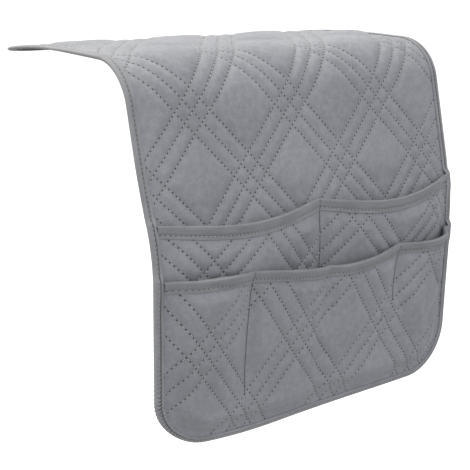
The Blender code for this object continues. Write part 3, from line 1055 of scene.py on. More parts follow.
@dataclass(frozen=True)
class TapeCloth:
    """Woven grey tape, folded over an edge."""

    name: str
    # line: darkness of the painted shade along the tape's line of stitching
    line: float
    colour: Colour = (0.332, 0.340, 0.374)
    roughness: float = 0.86
    groove_shade_width: float = 0.0009
    gather_shade_drape: Drape | None = None

    def gathers(self, nodes: Nodes, flat: Socket) -> Socket:
        """Find where shade is painted in the hollows between the small gathers round the bottom left
        corner.

        Args:
            nodes: the finish that is being built.
            flat: flat place on the tape, whose ends meet at the corner.

        Returns:
            1 at the bottom of a hollow, outside the line of stitching.
        """
        drape = self.gather_shade_drape
        along, across = nodes.split(flat)
        far = nodes.sum("GREATER_THAN", along, drape.perimeter / 2)
        place = nodes.sum("MULTIPLY_ADD", far, -drape.perimeter, along)
        drift = nodes.sum("SINE", nodes.sum("MULTIPLY", place, 1 / drape.drift_length))
        drift = nodes.sum("MULTIPLY", drift, drape.gather_drift)
        turn = nodes.sum("MULTIPLY_ADD", place, 2 * math.pi / drape.gather_pitch, drift)
        away = nodes.sum("MULTIPLY", nodes.sum("ADD", place, drape.gather_at), 1 / drape.gather_reach)
        window = nodes.sum("EXPONENT", nodes.sum("MULTIPLY", nodes.square(away), -1.0))
        hollow = nodes.spread(nodes.sum("SINE", turn), -1.0, 0.3, 1.0, 0.0)
        outside = nodes.spread(across, 0.0002, 0.0010, 0.0, 1.0)
        short = nodes.spread(across, 0.0022, 0.0052, 1.0, 0.0)
        shown = nodes.sum("MULTIPLY", outside, short)
        return nodes.sum("MULTIPLY", nodes.sum("MULTIPLY", hollow, window), shown)

    def material(self) -> bpy.types.Material:
        """Build the finish: streaks along the tape, painted shade along its line of stitching, and
        painted shade in any gathers.

        Returns:
            The new material.
        """
        nodes = Nodes(self.name)
        place, flat = nodes.place(), nodes.flat()
        patches = nodes.noise(place, 45.0, 3.0, 0.6)
        pull = nodes.noise(nodes.stretch(flat, (0.10, 1.0, 1.0)), 420.0, 2.0, 0.55)
        thread = nodes.noise(nodes.stretch(flat, (1.0, 0.4, 1.0), 0.78), 2400.0, 1.0, 0.5)
        mottle = nodes.sum("ADD", nodes.sum("MULTIPLY", patches, 0.5), nodes.sum("MULTIPLY", pull, 0.5))
        cloth = nodes.tint(mottle, self.colour, 0.86, 1.12)
        # painted shade in the groove along the line of stitching
        off = nodes.sum("ABSOLUTE", nodes.split(flat)[1])
        sewn = nodes.spread(off, 0.0002, self.groove_shade_width, 1.0, 0.0)
        cloth = nodes.blend(nodes.sum("MULTIPLY", sewn, self.line), cloth, shade(self.colour, 0.25))
        # painted shade in the hollows of the gathers round the bottom left corner
        if self.gather_shade_drape is not None:
            hollow = nodes.sum("MULTIPLY", self.gathers(nodes, flat), 0.85)
            cloth = nodes.blend(hollow, cloth, shade(self.colour, 0.30))
        relief = nodes.bump(thread, 0.00012, 0.6, nodes.bump(pull, 0.0004, 0.45))
        others = {
            "Sheen Weight": 0.2,
            "Sheen Roughness": 0.5,
            "Specular IOR Level": 0.25,
            "Normal": relief,
        }
        return nodes.finish(cloth, nodes.stray(patches, self.roughness, 0.05), others)


@dataclass(frozen=True)
class PlainCloth:
    """Plain woven or knitted cloth: warp and weft threads in a fine grid."""

    name: str
    colour: Colour
    roughness: float
    threads: float
    depth: float

    def material(self) -> bpy.types.Material:
        """Build the finish.

        Returns:
            The new material.
        """
        nodes = Nodes(self.name)
        patches = nodes.noise(nodes.place(), 60.0, 3.0, 0.6)
        lanes = (nodes.sum("MULTIPLY", axis, self.threads) for axis in nodes.split(nodes.flat()))
        grid = nodes.sum("MULTIPLY", *(nodes.sum("SINE", lane) for lane in lanes))
        tone = nodes.sum("ADD", nodes.sum("MULTIPLY", grid, 0.12), patches)
        relief = nodes.bump(grid, self.depth, 0.6, nodes.bump(patches, 0.0005, 0.3))
        cloth = nodes.tint(tone, self.colour, 0.85, 1.15)
        others = {"Specular IOR Level": 0.3, "Normal": relief}
        return nodes.finish(cloth, nodes.stray(patches, self.roughness, 0.06), others)


@dataclass(frozen=True)
class Fibres:
    """Tangled or twisted fibres: wadding, and sewing thread."""

    name: str
    colour: Colour
    roughness: float
    scale: float
    depth: float

    def material(self) -> bpy.types.Material:
        """Build the finish.

        Returns:
            The new material.
        """
        nodes = Nodes(self.name)
        place = nodes.place()
        coarse = nodes.noise(place, self.scale, 4.0, 0.7)
        strand = nodes.noise(nodes.stretch(place, (1.0, 0.3, 1.0), 0.6), self.scale * 3, 2.0, 0.6)
        tone = nodes.sum("ADD", nodes.sum("MULTIPLY", coarse, 0.6), nodes.sum("MULTIPLY", strand, 0.4))
        cloth = nodes.tint(tone, self.colour, 0.84, 1.12)
        others = {"Normal": nodes.bump(strand, self.depth, 0.6)}
        return nodes.finish(cloth, nodes.stray(coarse, self.roughness, 0.05), others)


@dataclass(frozen=True)
class GripRubber:
    """Soft dark rubber dots that keep the backing from sliding."""

    name: str = "grip_rubber"
    colour: Colour = (0.020, 0.021, 0.023)

    def material(self) -> bpy.types.Material:
        """Build the finish.

        Returns:
            The new material.
        """
        nodes = Nodes(self.name)
        dust = nodes.noise(nodes.place(), 700.0, 3.0, 0.6)
        rubber = nodes.blend(dust, shade(self.colour, 0.8), shade(self.colour, 1.7))
        others = {"Normal": nodes.bump(dust, 0.0001, 0.4)}
        return nodes.finish(rubber, nodes.spread(dust, 0.2, 0.8, 0.42, 0.62), others)


# The object


def dress(
    piece: bpy.types.Object, material: bpy.types.Material, slot: Slot, *nodes: str
) -> bpy.types.Object:
    """Give a piece its finish and hide the CAD nodes that it stands for.

    Args:
        piece: the piece.
        material: its finish.
        slot: not used.
        nodes: names of the CAD nodes, if it replaces any.

    Returns:
        The same piece.
    """
    piece.data.materials.append(material)
    if nodes:
        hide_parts(*nodes)
    log.info("%s: %d vertices, %d faces", piece.name, len(piece.data.vertices), len(piece.data.polygons))
    return piece


@dataclass
class BasePanel:
    """The long quilted panel: backing, wadding and face, bent over the armrest's edge."""

    drape: Drape
    quilting: Quilting
    backing: float = 0.0006
    face: float = 0.0005
    thin: float = 0.0015
    full: float = 0.0052
    row_loft: float = 0.0036
    rib_loft: float = 0.0014
    dome_loft: float = 0.0026
    seed: int = 11
    rumple_depth: float = 0.00022
    foot: float = 0.0009
    flat_from: float = 0.345
    flat_span: float = 0.050
    flat_thin: float = 0.0013
    flat_loft: float = 0.60
    flat_foot: float = 0.35
    rim: float = 0.0080
    pinch_span: float = 0.018
    lift_span: float = 0.010
    rows_shown_from: float = 0.158
    domes_shown_from: float = 0.184
    shown_span: float = 0.014
    gap: float = 0.00012
    least_wadding: float = 0.00015
    hidden_step: float = 0.008
    hidden_margin: float = 0.004
    far_margin: float = 0.012
    face_steps: tuple[float, float, float] = (0.0015, 0.00135, 0.0022)
    wadding_steps: tuple[float, float, float] = (0.0040, 0.0040, 0.0048)
    backing_rows: int = 115
    backing_step: float = 0.0078
    grip_pitch: float = 0.0085
    grip_radius: float = 0.0012
    grip_taper: float = 0.6
    grip_height: float = 0.0005
    grip_sunk: float = 0.0001
    grip_margin: float = 0.012
    grip_rim: float = 0.003
    stitch_rim: float = 0.0005
    sewn_below_domes: float = 0.025
    sewn_behind_mouth: float = 0.016

    def flat(self, s: Field) -> Field:
        """How far the cloth lies pressed flat on the armrest: 0 on the bend, 1 well past it."""
        return ease((s - self.flat_from) / self.flat_span)

    def foot_height(self, u: Field, s: Field) -> Field:
        """Height of the underside, which climbs onto the tape along the edge."""
        inside = self.drape.edge_distance(u, s) - self.rim
        return self.foot * mix(1.0, self.flat_foot, self.flat(s)) * (1 - ease(inside / self.lift_span))

    def edge_height(self, s: Field) -> Field:
        """Thickness of the cloth along its sewn edge."""
        return mix(self.thin, self.flat_thin, self.flat(s))

    def softness(self, u: Field, s: Field) -> Field:
        """How far the wadding has risen: 0 along the sewn edge, 1 inside."""
        return ease((self.drape.edge_distance(u, s) - self.rim) / self.pinch_span)

    def plain_top(self, u: Field, s: Field) -> Field:
        """Front of the panel without its quilting, which is what the pockets lie on."""
        return self.foot_height(u, s) + mix(self.edge_height(s), self.full, self.softness(u, s))

    def top(self, u: Field, s: Field, ribs: float = 1.0) -> Field:
        """Find the front of the panel.

        Args:
            u: distances across the cloth.
            s: distances up the cloth.
            ribs: share of the full height of the ribs between the rows.

        Returns:
            Height at each point.
        """
        rows = ease((s - self.rows_shown_from) / self.shown_span)
        domes = ease((s - self.domes_shown_from) / self.shown_span)
        quilted = self.row_loft + ribs * self.rib_loft * self.quilting.rib(u, s)
        loft = mix(self.full, quilted, rows) + self.dome_loft * self.quilting.dome(u, s) * domes
        loft = loft + rumple(u, s, self.seed, self.rumple_depth) * rows
        loft = loft * mix(1.0, self.flat_loft, self.flat(s))
        return self.foot_height(u, s) + mix(self.edge_height(s), loft, self.softness(u, s))

    def backing_top(self, u: Field, s: Field) -> Field:
        """Upper side of the backing."""
        return self.foot_height(u, s) + self.backing

    def columns(self, step: float) -> Field:
        """Upright grid lines, evenly spaced."""
        count = round((self.drape.width - 2 * self.foot) / step)
        return np.linspace(self.foot, self.drape.width - self.foot, count + 1)

    def rows(self, step: float, far_step: float) -> Field:
        """Set level grid lines, spaced by how much of the cloth shows.

        Args:
            step: spacing on the hanging part above the pockets and on the shoulder.
            far_step: spacing on the armrest.

        Returns:
            Distances up the cloth.
        """
        shown = self.rows_shown_from - self.hidden_margin
        seat, end = self.drape.fold_high + self.far_margin, self.drape.length - self.foot
        hidden = np.linspace(self.foot, shown, round(shown / self.hidden_step), endpoint=False)
        near = np.linspace(shown, seat, round((seat - shown) / step), endpoint=False)
        return np.concatenate((hidden, near, np.linspace(seat, end, round((end - seat) / far_step) + 1)))

    def build_face(self, material: bpy.types.Material) -> bpy.types.Object:
        """Make the quilted face cloth.

        Args:
            material: its finish.

        Returns:
            The finished piece.
        """
        across, up, far = self.face_steps
        piece = cloth_solid(
            "base_face_cloth", self.drape, self.columns(across), self.rows(up, far),
            lambda u, s: self.top(u, s) - self.face, self.top,
        )
        return dress(
            piece, material, Slot.FACE,
            "top_face_fabric", "shoulder_face_fabric", "drop_face_fabric",
        )

    def build_wadding(self, material: bpy.types.Material) -> bpy.types.Object:
        """Make the wadding between the face and the backing.

        Args:
            material: its finish.

        Returns:
            The finished piece.
        """

        def upper(u: Field, s: Field) -> Field:
            """Top side of the wadding, never thinner than what a seam leaves."""
            least = self.backing_top(u, s) + self.least_wadding
            return np.maximum(self.top(u, s, WADDING_RIBS) - self.face - self.gap, least)

        across, up, far = self.wadding_steps
        piece = cloth_solid(
            "base_wadding", self.drape, self.columns(across), self.rows(up, far),
            lambda u, s: self.backing_top(u, s) + self.gap, upper,
        )
        return dress(piece, material, Slot.WADDING, "top_wadding", "shoulder_wadding", "drop_wadding")

    def build_backing(self, material: bpy.types.Material) -> bpy.types.Object:
        """Make the backing cloth that lies on the armrest.

        Args:
            material: its finish.

        Returns:
            The finished piece.
        """
        rows = np.linspace(self.foot, self.drape.length - self.foot, self.backing_rows)
        piece = cloth_solid(
            "base_backing", self.drape, self.columns(self.backing_step), rows,
            self.foot_height, self.backing_top,
        )
        return dress(piece, material, Slot.BACKING, "top_backing", "shoulder_backing", "drop_backing")

    def build_grips(self, material: bpy.types.Material) -> bpy.types.Object:
        """Make the rubber dots on the underside of the backing, in staggered lanes.

        Args:
            material: their finish.

        Returns:
            All the dots as one piece.
        """
        drape, pitch, margin = self.drape, self.grip_pitch, self.grip_margin
        lanes = np.arange(margin, drape.length - margin, pitch * math.sqrt(0.75))
        places = [
            (u, s)
            for index, s in enumerate(lanes)
            for u in np.arange(margin + (index % 2) * pitch / 2, drape.width - margin, pitch)
        ]
        u, s = (np.array(axis) for axis in zip(*places))
        keep = drape.edge_distance(u, s) > self.rim + self.grip_rim
        u, s = u[keep], s[keep]
        dot = bmesh.new()
        bmesh.ops.create_cone(
            dot, cap_ends=True, segments=8, radius1=self.grip_radius,
            radius2=self.grip_radius * self.grip_taper, depth=self.grip_height,
        )
        bmesh.ops.reverse_faces(dot, faces=dot.faces[:])
        piece, form = copies("grip_dots", dot, len(u))
        flat_u, flat_s = u[:, None] + form[:, 0], s[:, None] + form[:, 1]
        height = self.foot_height(flat_u, flat_s) - form[:, 2] - self.grip_sunk
        move_points(piece.data, drape.place(flat_u, flat_s, height).reshape(-1, 3))
        return dress(piece, material, Slot.BACKING)

    def build_quilting(
        self, material: bpy.types.Material, stitch: Stitch, mouth: Surface
    ) -> bpy.types.Object:
        """Sew the rows of stitching that show above the upper pockets.

        Args:
            material: finish of the thread.
            stitch: shape of one stitch.
            mouth: height of the upper pockets' mouth.

        Returns:
            All the stitches as one piece.
        """
        low = self.domes_shown_from - self.sewn_below_domes
        u, s, to_u, to_s = self.quilting.stitch_places(low, self.drape.length, self.drape.width)
        inside = self.drape.edge_distance(u, s) > self.rim + self.stitch_rim
        keep = inside & (s > mouth(u, s) - self.sewn_behind_mouth)
        kept = (axis[keep] for axis in (u, s, to_u, to_s))
        piece = stitch.sew("base_quilting_thread", self.drape, *kept, self.top)
        return dress(piece, material, Slot.FACE)


@dataclass
class PocketRow:
    """A quilted panel sewn over what lies under it, open at the top, divided by upright seams."""

    name: str
    base: BasePanel
    quilting: Quilting
    under: Surface
    levels: tuple[float, ...]
    seams: tuple[float, ...]
    seam_ends: tuple[float, ...]
    gape: float
    floor: float
    sags: tuple[float, ...]
    skews: tuple[float, ...]
    rest_gap: float
    rows_shown_from: float
    domes_shown_from: float
    creases: tuple[Crease, ...]
    nodes: tuple[str, str, str, str]
    seed: int
    rumple_depth: float = 0.00030
    lining: float = 0.0004
    face: float = 0.0005
    thin: float = 0.0012
    full: float = 0.0037
    row_loft: float = 0.0026
    rib_loft: float = 0.0015
    dome_loft: float = 0.0025
    least_wadding: float = 0.00003
    seam_half_width: float = 0.0016
    seam_pinch_span: float = 0.010
    seam_hold_span: float = 0.03
    mouth_rim: float = 0.009
    mouth_pinch_span: float = 0.010
    gape_power: float = 1.5
    groove_depth: float = 0.0003
    groove_width: float = 0.0010
    tape_start: float = 0.0060
    tape: float = 0.0006
    tape_width: float = 0.0092
    tape_gap: float = 0.0003
    tape_bulge: float = 0.0014
    bulge_power: float = 0.45
    tape_inset: float = 0.0022
    tape_groove: float = 0.0009
    tape_groove_width: float = 0.0009
    tape_turn: float = 0.0012
    tape_step: float = 0.0016
    leg_points: int = 15
    fold_depths_mm: tuple[float, ...] = (0.9, 0.6, 0.3, 0.12, 0.02)
    fold_drops: tuple[float, ...] = (0.0, 0.03, 0.12, 0.26, 0.42)
    inner_fold: float = 0.0008
    stitch_margin: float = 0.0012
    divider_from: float = 0.012
    divider_below_mouth: float = 0.0006
    tape_stitch_margin: float = 0.0100
    shown_span: float = 0.014
    face_steps: tuple[float, float] = (0.00115, 0.0013)
    plain_step: float = 0.004
    hidden_step: float = 0.008
    seam_room: float = 0.0012
    seam_lines: tuple[float, ...] = (-0.0014, -0.0007, 0.0, 0.0007, 0.0014)

    @property
    def drape(self) -> Drape:
        """How the cloth hangs."""
        return self.base.drape

    @property
    def highest(self) -> float:
        """Highest place of the mouth."""
        return max(self.levels)

    def bump(self, u: Field, sizes: tuple[float, ...] = (), skews: tuple[float, ...] = ()) -> Field:
        """Find how far each mouth stands open across its width.

        Args:
            u: distances across the cloth.
            sizes: height of each opening's rise, or 1 if left out.
            skews: below 1 to bring the top of each rise to the left, or 1 if left out.

        Returns:
            0 at the seams, rising to the size between them.
        """
        rim, half = self.base.rim, self.seam_half_width
        bounds = [rim - half, *self.seams, self.drape.width - rim + half]
        opening = np.zeros_like(u)
        even = (1.0,) * len(bounds)
        for left, right, size, skew in zip(bounds, bounds[1:], sizes or even, skews or even):
            inner = np.clip((u - left - half) / (right - left - 2 * half), 0.0, 1.0)
            opening = opening + size * np.sin(math.pi * inner**skew)
        return opening

    def mouth(self, u: Field) -> Field:
        """Height of the mouth edge, which sags between the seams."""
        level = np.interp(u, (0.0, *self.seams, self.drape.width), self.levels)
        return level - self.bump(u, self.sags, self.skews)

    def row_height(self, u: Field, s: Field) -> Field:
        """Move straight grid lines so that those near the mouth run along it.

        Args:
            u: distances across the cloth.
            s: distances up the cloth, on straight lines.

        Returns:
            The moved s.
        """
        reach = self.highest - self.mouth_rim - self.base.lift_span - self.drape.corner_radius
        share = np.clip((s - self.drape.corner_radius) / reach, 0.0, 1.0)
        return s + (self.mouth(u) - self.highest) * share

    def hold(self, s: Field, end: float) -> Field:
        """How firmly a dividing seam holds the cloth down at a height."""
        return ease((s - end) / self.seam_hold_span)

    def softness(self, u: Field, s: Field) -> Field:
        """Find how far the wadding has risen.

        Args:
            u: distances across the cloth.
            s: distances up the cloth.

        Returns:
            0 along edges and seams, 1 inside.
        """
        soft = self.base.softness(u, s)
        soft = soft * ease((self.mouth(u) - s - self.mouth_rim) / self.mouth_pinch_span)
        for seam, end in zip(self.seams, self.seam_ends):
            pinch = 1 - ease((np.abs(u - seam) - self.seam_half_width) / self.seam_pinch_span)
            soft = soft * (1 - self.hold(s, end) * pinch)
        return soft

    def back(self, u: Field, s: Field) -> Field:
        """Find the underside of the row's lining.

        Args:
            u: distances across the cloth.
            s: distances up the cloth.

        Returns:
            Height at each point.
        """
        below = self.mouth(u) - s
        rise = np.maximum(s - self.floor, 0.0) / (self.highest - self.floor)
        lift = self.rest_gap + self.base.foot * (1 - ease((below - self.mouth_rim) / self.base.lift_span))
        return self.under(u, s) + lift + self.gape * self.bump(u) * rise**self.gape_power

    def plain_top(self, u: Field, s: Field) -> Field:
        """Front of the row without its quilting."""
        return self.back(u, s) + mix(self.thin, self.full, self.softness(u, s))

    def grooves(self, u: Field, s: Field) -> Field:
        """Find the sharp grooves of the dividing seams.

        Args:
            u: distances across the cloth.
            s: distances up the cloth.

        Returns:
            Depth at each point.
        """
        depth = np.zeros_like(u)
        for seam, end in zip(self.seams, self.seam_ends):
            depth = depth + self.hold(s, end) * np.exp(-(((u - seam) / self.groove_width) ** 2))
        return self.groove_depth * depth

    def top(self, u: Field, s: Field, ribs: float = 1.0) -> Field:
        """Find the front of the row.

        Args:
            u: distances across the cloth.
            s: distances up the cloth.
            ribs: share of the full height of the ribs between the rows.

        Returns:
            Height at each point.
        """
        rows = ease((s - self.rows_shown_from) / self.shown_span)
        domes = ease((s - self.domes_shown_from) / self.shown_span)
        quilted = self.row_loft + ribs * self.rib_loft * self.quilting.rib(u, s)
        loft = mix(self.full, quilted, rows) + self.dome_loft * self.quilting.dome(u, s) * domes
        loft = loft + rumple(u, s, self.seed, self.rumple_depth) * rows
        for crease in self.creases:
            loft = loft + crease.lift(u, s)
        return self.back(u, s) + mix(self.thin, loft, self.softness(u, s)) - self.grooves(u, s)

    def columns(self, step: float) -> Field:
        """Set upright grid lines, with closer ones at the dividing seams.

        Args:
            step: spacing away from the seams.

        Returns:
            Distances across the cloth.
        """
        edge = self.base.foot
        count = round((self.drape.width - 2 * edge) / step)
        lines = np.linspace(edge, self.drape.width - edge, count + 1)
        for seam in self.seams:
            lines = lines[np.abs(lines - seam) > step * 0.8 + self.seam_room]
            lines = np.concatenate((lines, seam + np.array(self.seam_lines)))
        return np.sort(lines)

    def rows(self, step: float) -> Field:
        """Set level grid lines: wide apart where the row is hidden, then close.

        Args:
            step: spacing where the row shows.

        Returns:
            Distances up the cloth.
        """
        edge, top = self.base.foot, self.highest
        shown = max(self.rows_shown_from, edge)
        count = round((top - edge - shown) / step)
        fine = np.linspace(shown, top - edge, count + 1)
        if shown == edge:
            return fine
        hidden = np.linspace(edge, shown, round(shown / self.hidden_step), endpoint=False)
        return np.concatenate((hidden, fine))

    def build_face(self, material: bpy.types.Material) -> bpy.types.Object:
        """Make the quilted face cloth.

        Args:
            material: its finish.

        Returns:
            The finished piece.
        """
        across, up = self.face_steps
        piece = cloth_solid(
            f"{self.name}_face_cloth", self.drape, self.columns(across), self.rows(up),
            lambda u, s: self.top(u, s) - self.face, self.top, self.row_height,
        )
        return dress(piece, material, Slot.FACE, self.nodes[0])

    def build_wadding(self, material: bpy.types.Material) -> bpy.types.Object:
        """Make the wadding between the face and the lining.

        Args:
            material: its finish.

        Returns:
            The finished piece.
        """
        gap = self.base.gap

        def lower(u: Field, s: Field) -> Field:
            """Underside of the wadding."""
            return self.back(u, s) + self.lining + gap

        def upper(u: Field, s: Field) -> Field:
            """Top side of the wadding, pressed thin along the seams."""
            least = lower(u, s) + self.least_wadding
            return np.maximum(self.top(u, s, WADDING_RIBS) - self.face - gap, least)

        piece = cloth_solid(
            f"{self.name}_wadding", self.drape, self.columns(self.plain_step), self.rows(self.plain_step),
            lower, upper, self.row_height,
        )
        return dress(piece, material, Slot.WADDING, self.nodes[1])

    def build_lining(self, material: bpy.types.Material) -> bpy.types.Object:
        """Make the lining at the back of the row.

        Args:
            material: its finish.

        Returns:
            The finished piece.
        """
        piece = cloth_solid(
            f"{self.name}_lining", self.drape, self.columns(self.plain_step), self.rows(self.plain_step),
            self.back, lambda u, s: self.back(u, s) + self.lining, self.row_height,
        )
        return dress(piece, material, Slot.LINING, self.nodes[2])

    def tape_front(self, u: Field, s: Field) -> Field:
        """Find the front of the mouth tape, which bulges above its line of stitching.

        Args:
            u: distances across the cloth.
            s: distances up the cloth.

        Returns:
            Height at each point.
        """
        inside = np.minimum(s, self.mouth(u) - self.base.foot)
        sewn = self.tape_width - self.tape_inset
        share = np.clip((self.mouth(u) - s) / sewn, 0.0, 1.0)
        bulge = self.tape_bulge * np.sin(math.pi * share**self.bulge_power)
        off = (self.mouth(u) - s - sewn) / self.tape_groove_width
        groove = self.tape_groove * np.exp(-(off**2))
        return self.top(u, inside) + self.tape_gap + self.tape + bulge - groove

    def tape_or_top(self, u: Field, s: Field) -> Field:
        """Height of the tape where it covers the row, and of the row below it."""
        on_tape = s > self.mouth(u) - self.tape_width
        return np.where(on_tape, self.tape_front(u, s), self.top(u, s))

    def build_binding(self, material: bpy.types.Material) -> bpy.types.Object:
        """Fold the tape over the mouth edge, between the two tapes of the sides.

        The section runs up the front leg, over the turn, down the rear leg, and back up and down
        again inside the fold.

        Args:
            material: finish of the tape.

        Returns:
            The finished tape.
        """
        start, end = self.tape_start, self.drape.width - self.tape_start
        lines = self.columns(self.tape_step)
        column = np.concatenate(([start], lines[(lines > start) & (lines < end)], [end]))[:, None]
        edge = self.mouth(column[:, 0])[:, None]
        width, tape, turn, foot = self.tape_width, self.tape, self.tape_turn, self.base.foot

        def seat(depth: Field | float) -> Field:
            """Height of the back of the row at a depth below the mouth edge, less a small gap."""
            return self.back(column, edge - np.maximum(depth, foot)) - SEAT_GAP

        front_turn = np.array(self.fold_depths_mm) * MM
        drop = np.array(self.fold_drops)
        outer = np.concatenate((np.linspace(width, turn, self.leg_points), front_turn))
        front = self.tape_front(column, edge - outer[None, :])
        thick = front[:, -5:] - seat(foot) + tape
        front[:, -5:] = front[:, -5:] - thick * drop
        rear_turn = front_turn[::-1]
        rear_leg = np.linspace(turn, width, 6)
        inner_rear = np.linspace(width, self.inner_fold, 6)
        inner_front = np.linspace(self.inner_fold, width - SEAT_GAP, 9)
        heights = (
            front,
            seat(rear_turn) - tape + thick * drop[::-1],
            seat(rear_leg) - tape,
            seat(inner_rear),
            self.tape_front(column, edge - inner_front) - tape,
        )
        depth = np.concatenate((outer, rear_turn, rear_leg, inner_rear, inner_front))
        n = np.concatenate(heights, axis=1)
        stitched = (self.leg_points - 1) * self.tape_inset / (width - turn)
        piece = tape_solid(
            f"{self.name}_mouth_tape", self.drape, np.broadcast_to(column, n.shape),
            edge - depth[None, :], n, False, stitched,
        )
        return dress(piece, material, Slot.BINDING, self.nodes[3])

    def build_quilting(self, material: bpy.types.Material, stitch: Stitch) -> bpy.types.Object:
        """Sew the rows of quilting.

        Args:
            material: finish of the thread.
            stitch: shape of one stitch.

        Returns:
            All the stitches as one piece.
        """
        drape, margin = self.drape, self.stitch_margin
        u, s, to_u, to_s = self.quilting.stitch_places(self.rows_shown_from, self.highest, drape.width)
        below_tape = s < self.mouth(u) - self.tape_width - margin
        keep = (drape.edge_distance(u, s) > self.base.rim + margin) & below_tape
        kept = (axis[keep] for axis in (u, s, to_u, to_s))
        piece = stitch.sew(f"{self.name}_quilting_thread", drape, *kept, self.top)
        return dress(piece, material, Slot.FACE)

    def build_dividers(self, material: bpy.types.Material, stitch: Stitch) -> bpy.types.Object:
        """Sew the upright seams that part the pockets.

        Args:
            material: finish of the thread.
            stitch: shape of one stitch.

        Returns:
            All the stitches as one piece.
        """
        places = []
        for seam, end in zip(self.seams, self.seam_ends):
            low = max(end + self.divider_from, self.rows_shown_from)
            high = float(self.mouth(np.array([seam]))[0]) - self.divider_below_mouth
            s = np.arange(low, high, stitch.close_pitch)
            places.append((np.full_like(s, seam), s, np.zeros_like(s), np.ones_like(s)))
        line = (np.concatenate(columns) for columns in zip(*places))
        piece = stitch.sew(f"{self.name}_divider_thread", self.drape, *line, self.tape_or_top)
        return dress(piece, material, Slot.BINDING)

    def build_tape_stitching(self, material: bpy.types.Material, stitch: Stitch) -> bpy.types.Object:
        """Sew the line of stitching along the mouth tape.

        Args:
            material: finish of the thread.
            stitch: shape of one stitch.

        Returns:
            All the stitches as one piece.
        """
        margin = self.tape_stitch_margin
        u = np.arange(margin, self.drape.width - margin, stitch.pitch)
        line = self.mouth(u) - self.tape_width + self.tape_inset
        slope = (self.mouth(u + 1e-4) - self.mouth(u - 1e-4)) / 2e-4
        size = np.hypot(1.0, slope)
        piece = stitch.sew(
            f"{self.name}_tape_thread", self.drape, u, line, 1 / size, slope / size, self.tape_or_top
        )
        return dress(piece, material, Slot.BINDING)


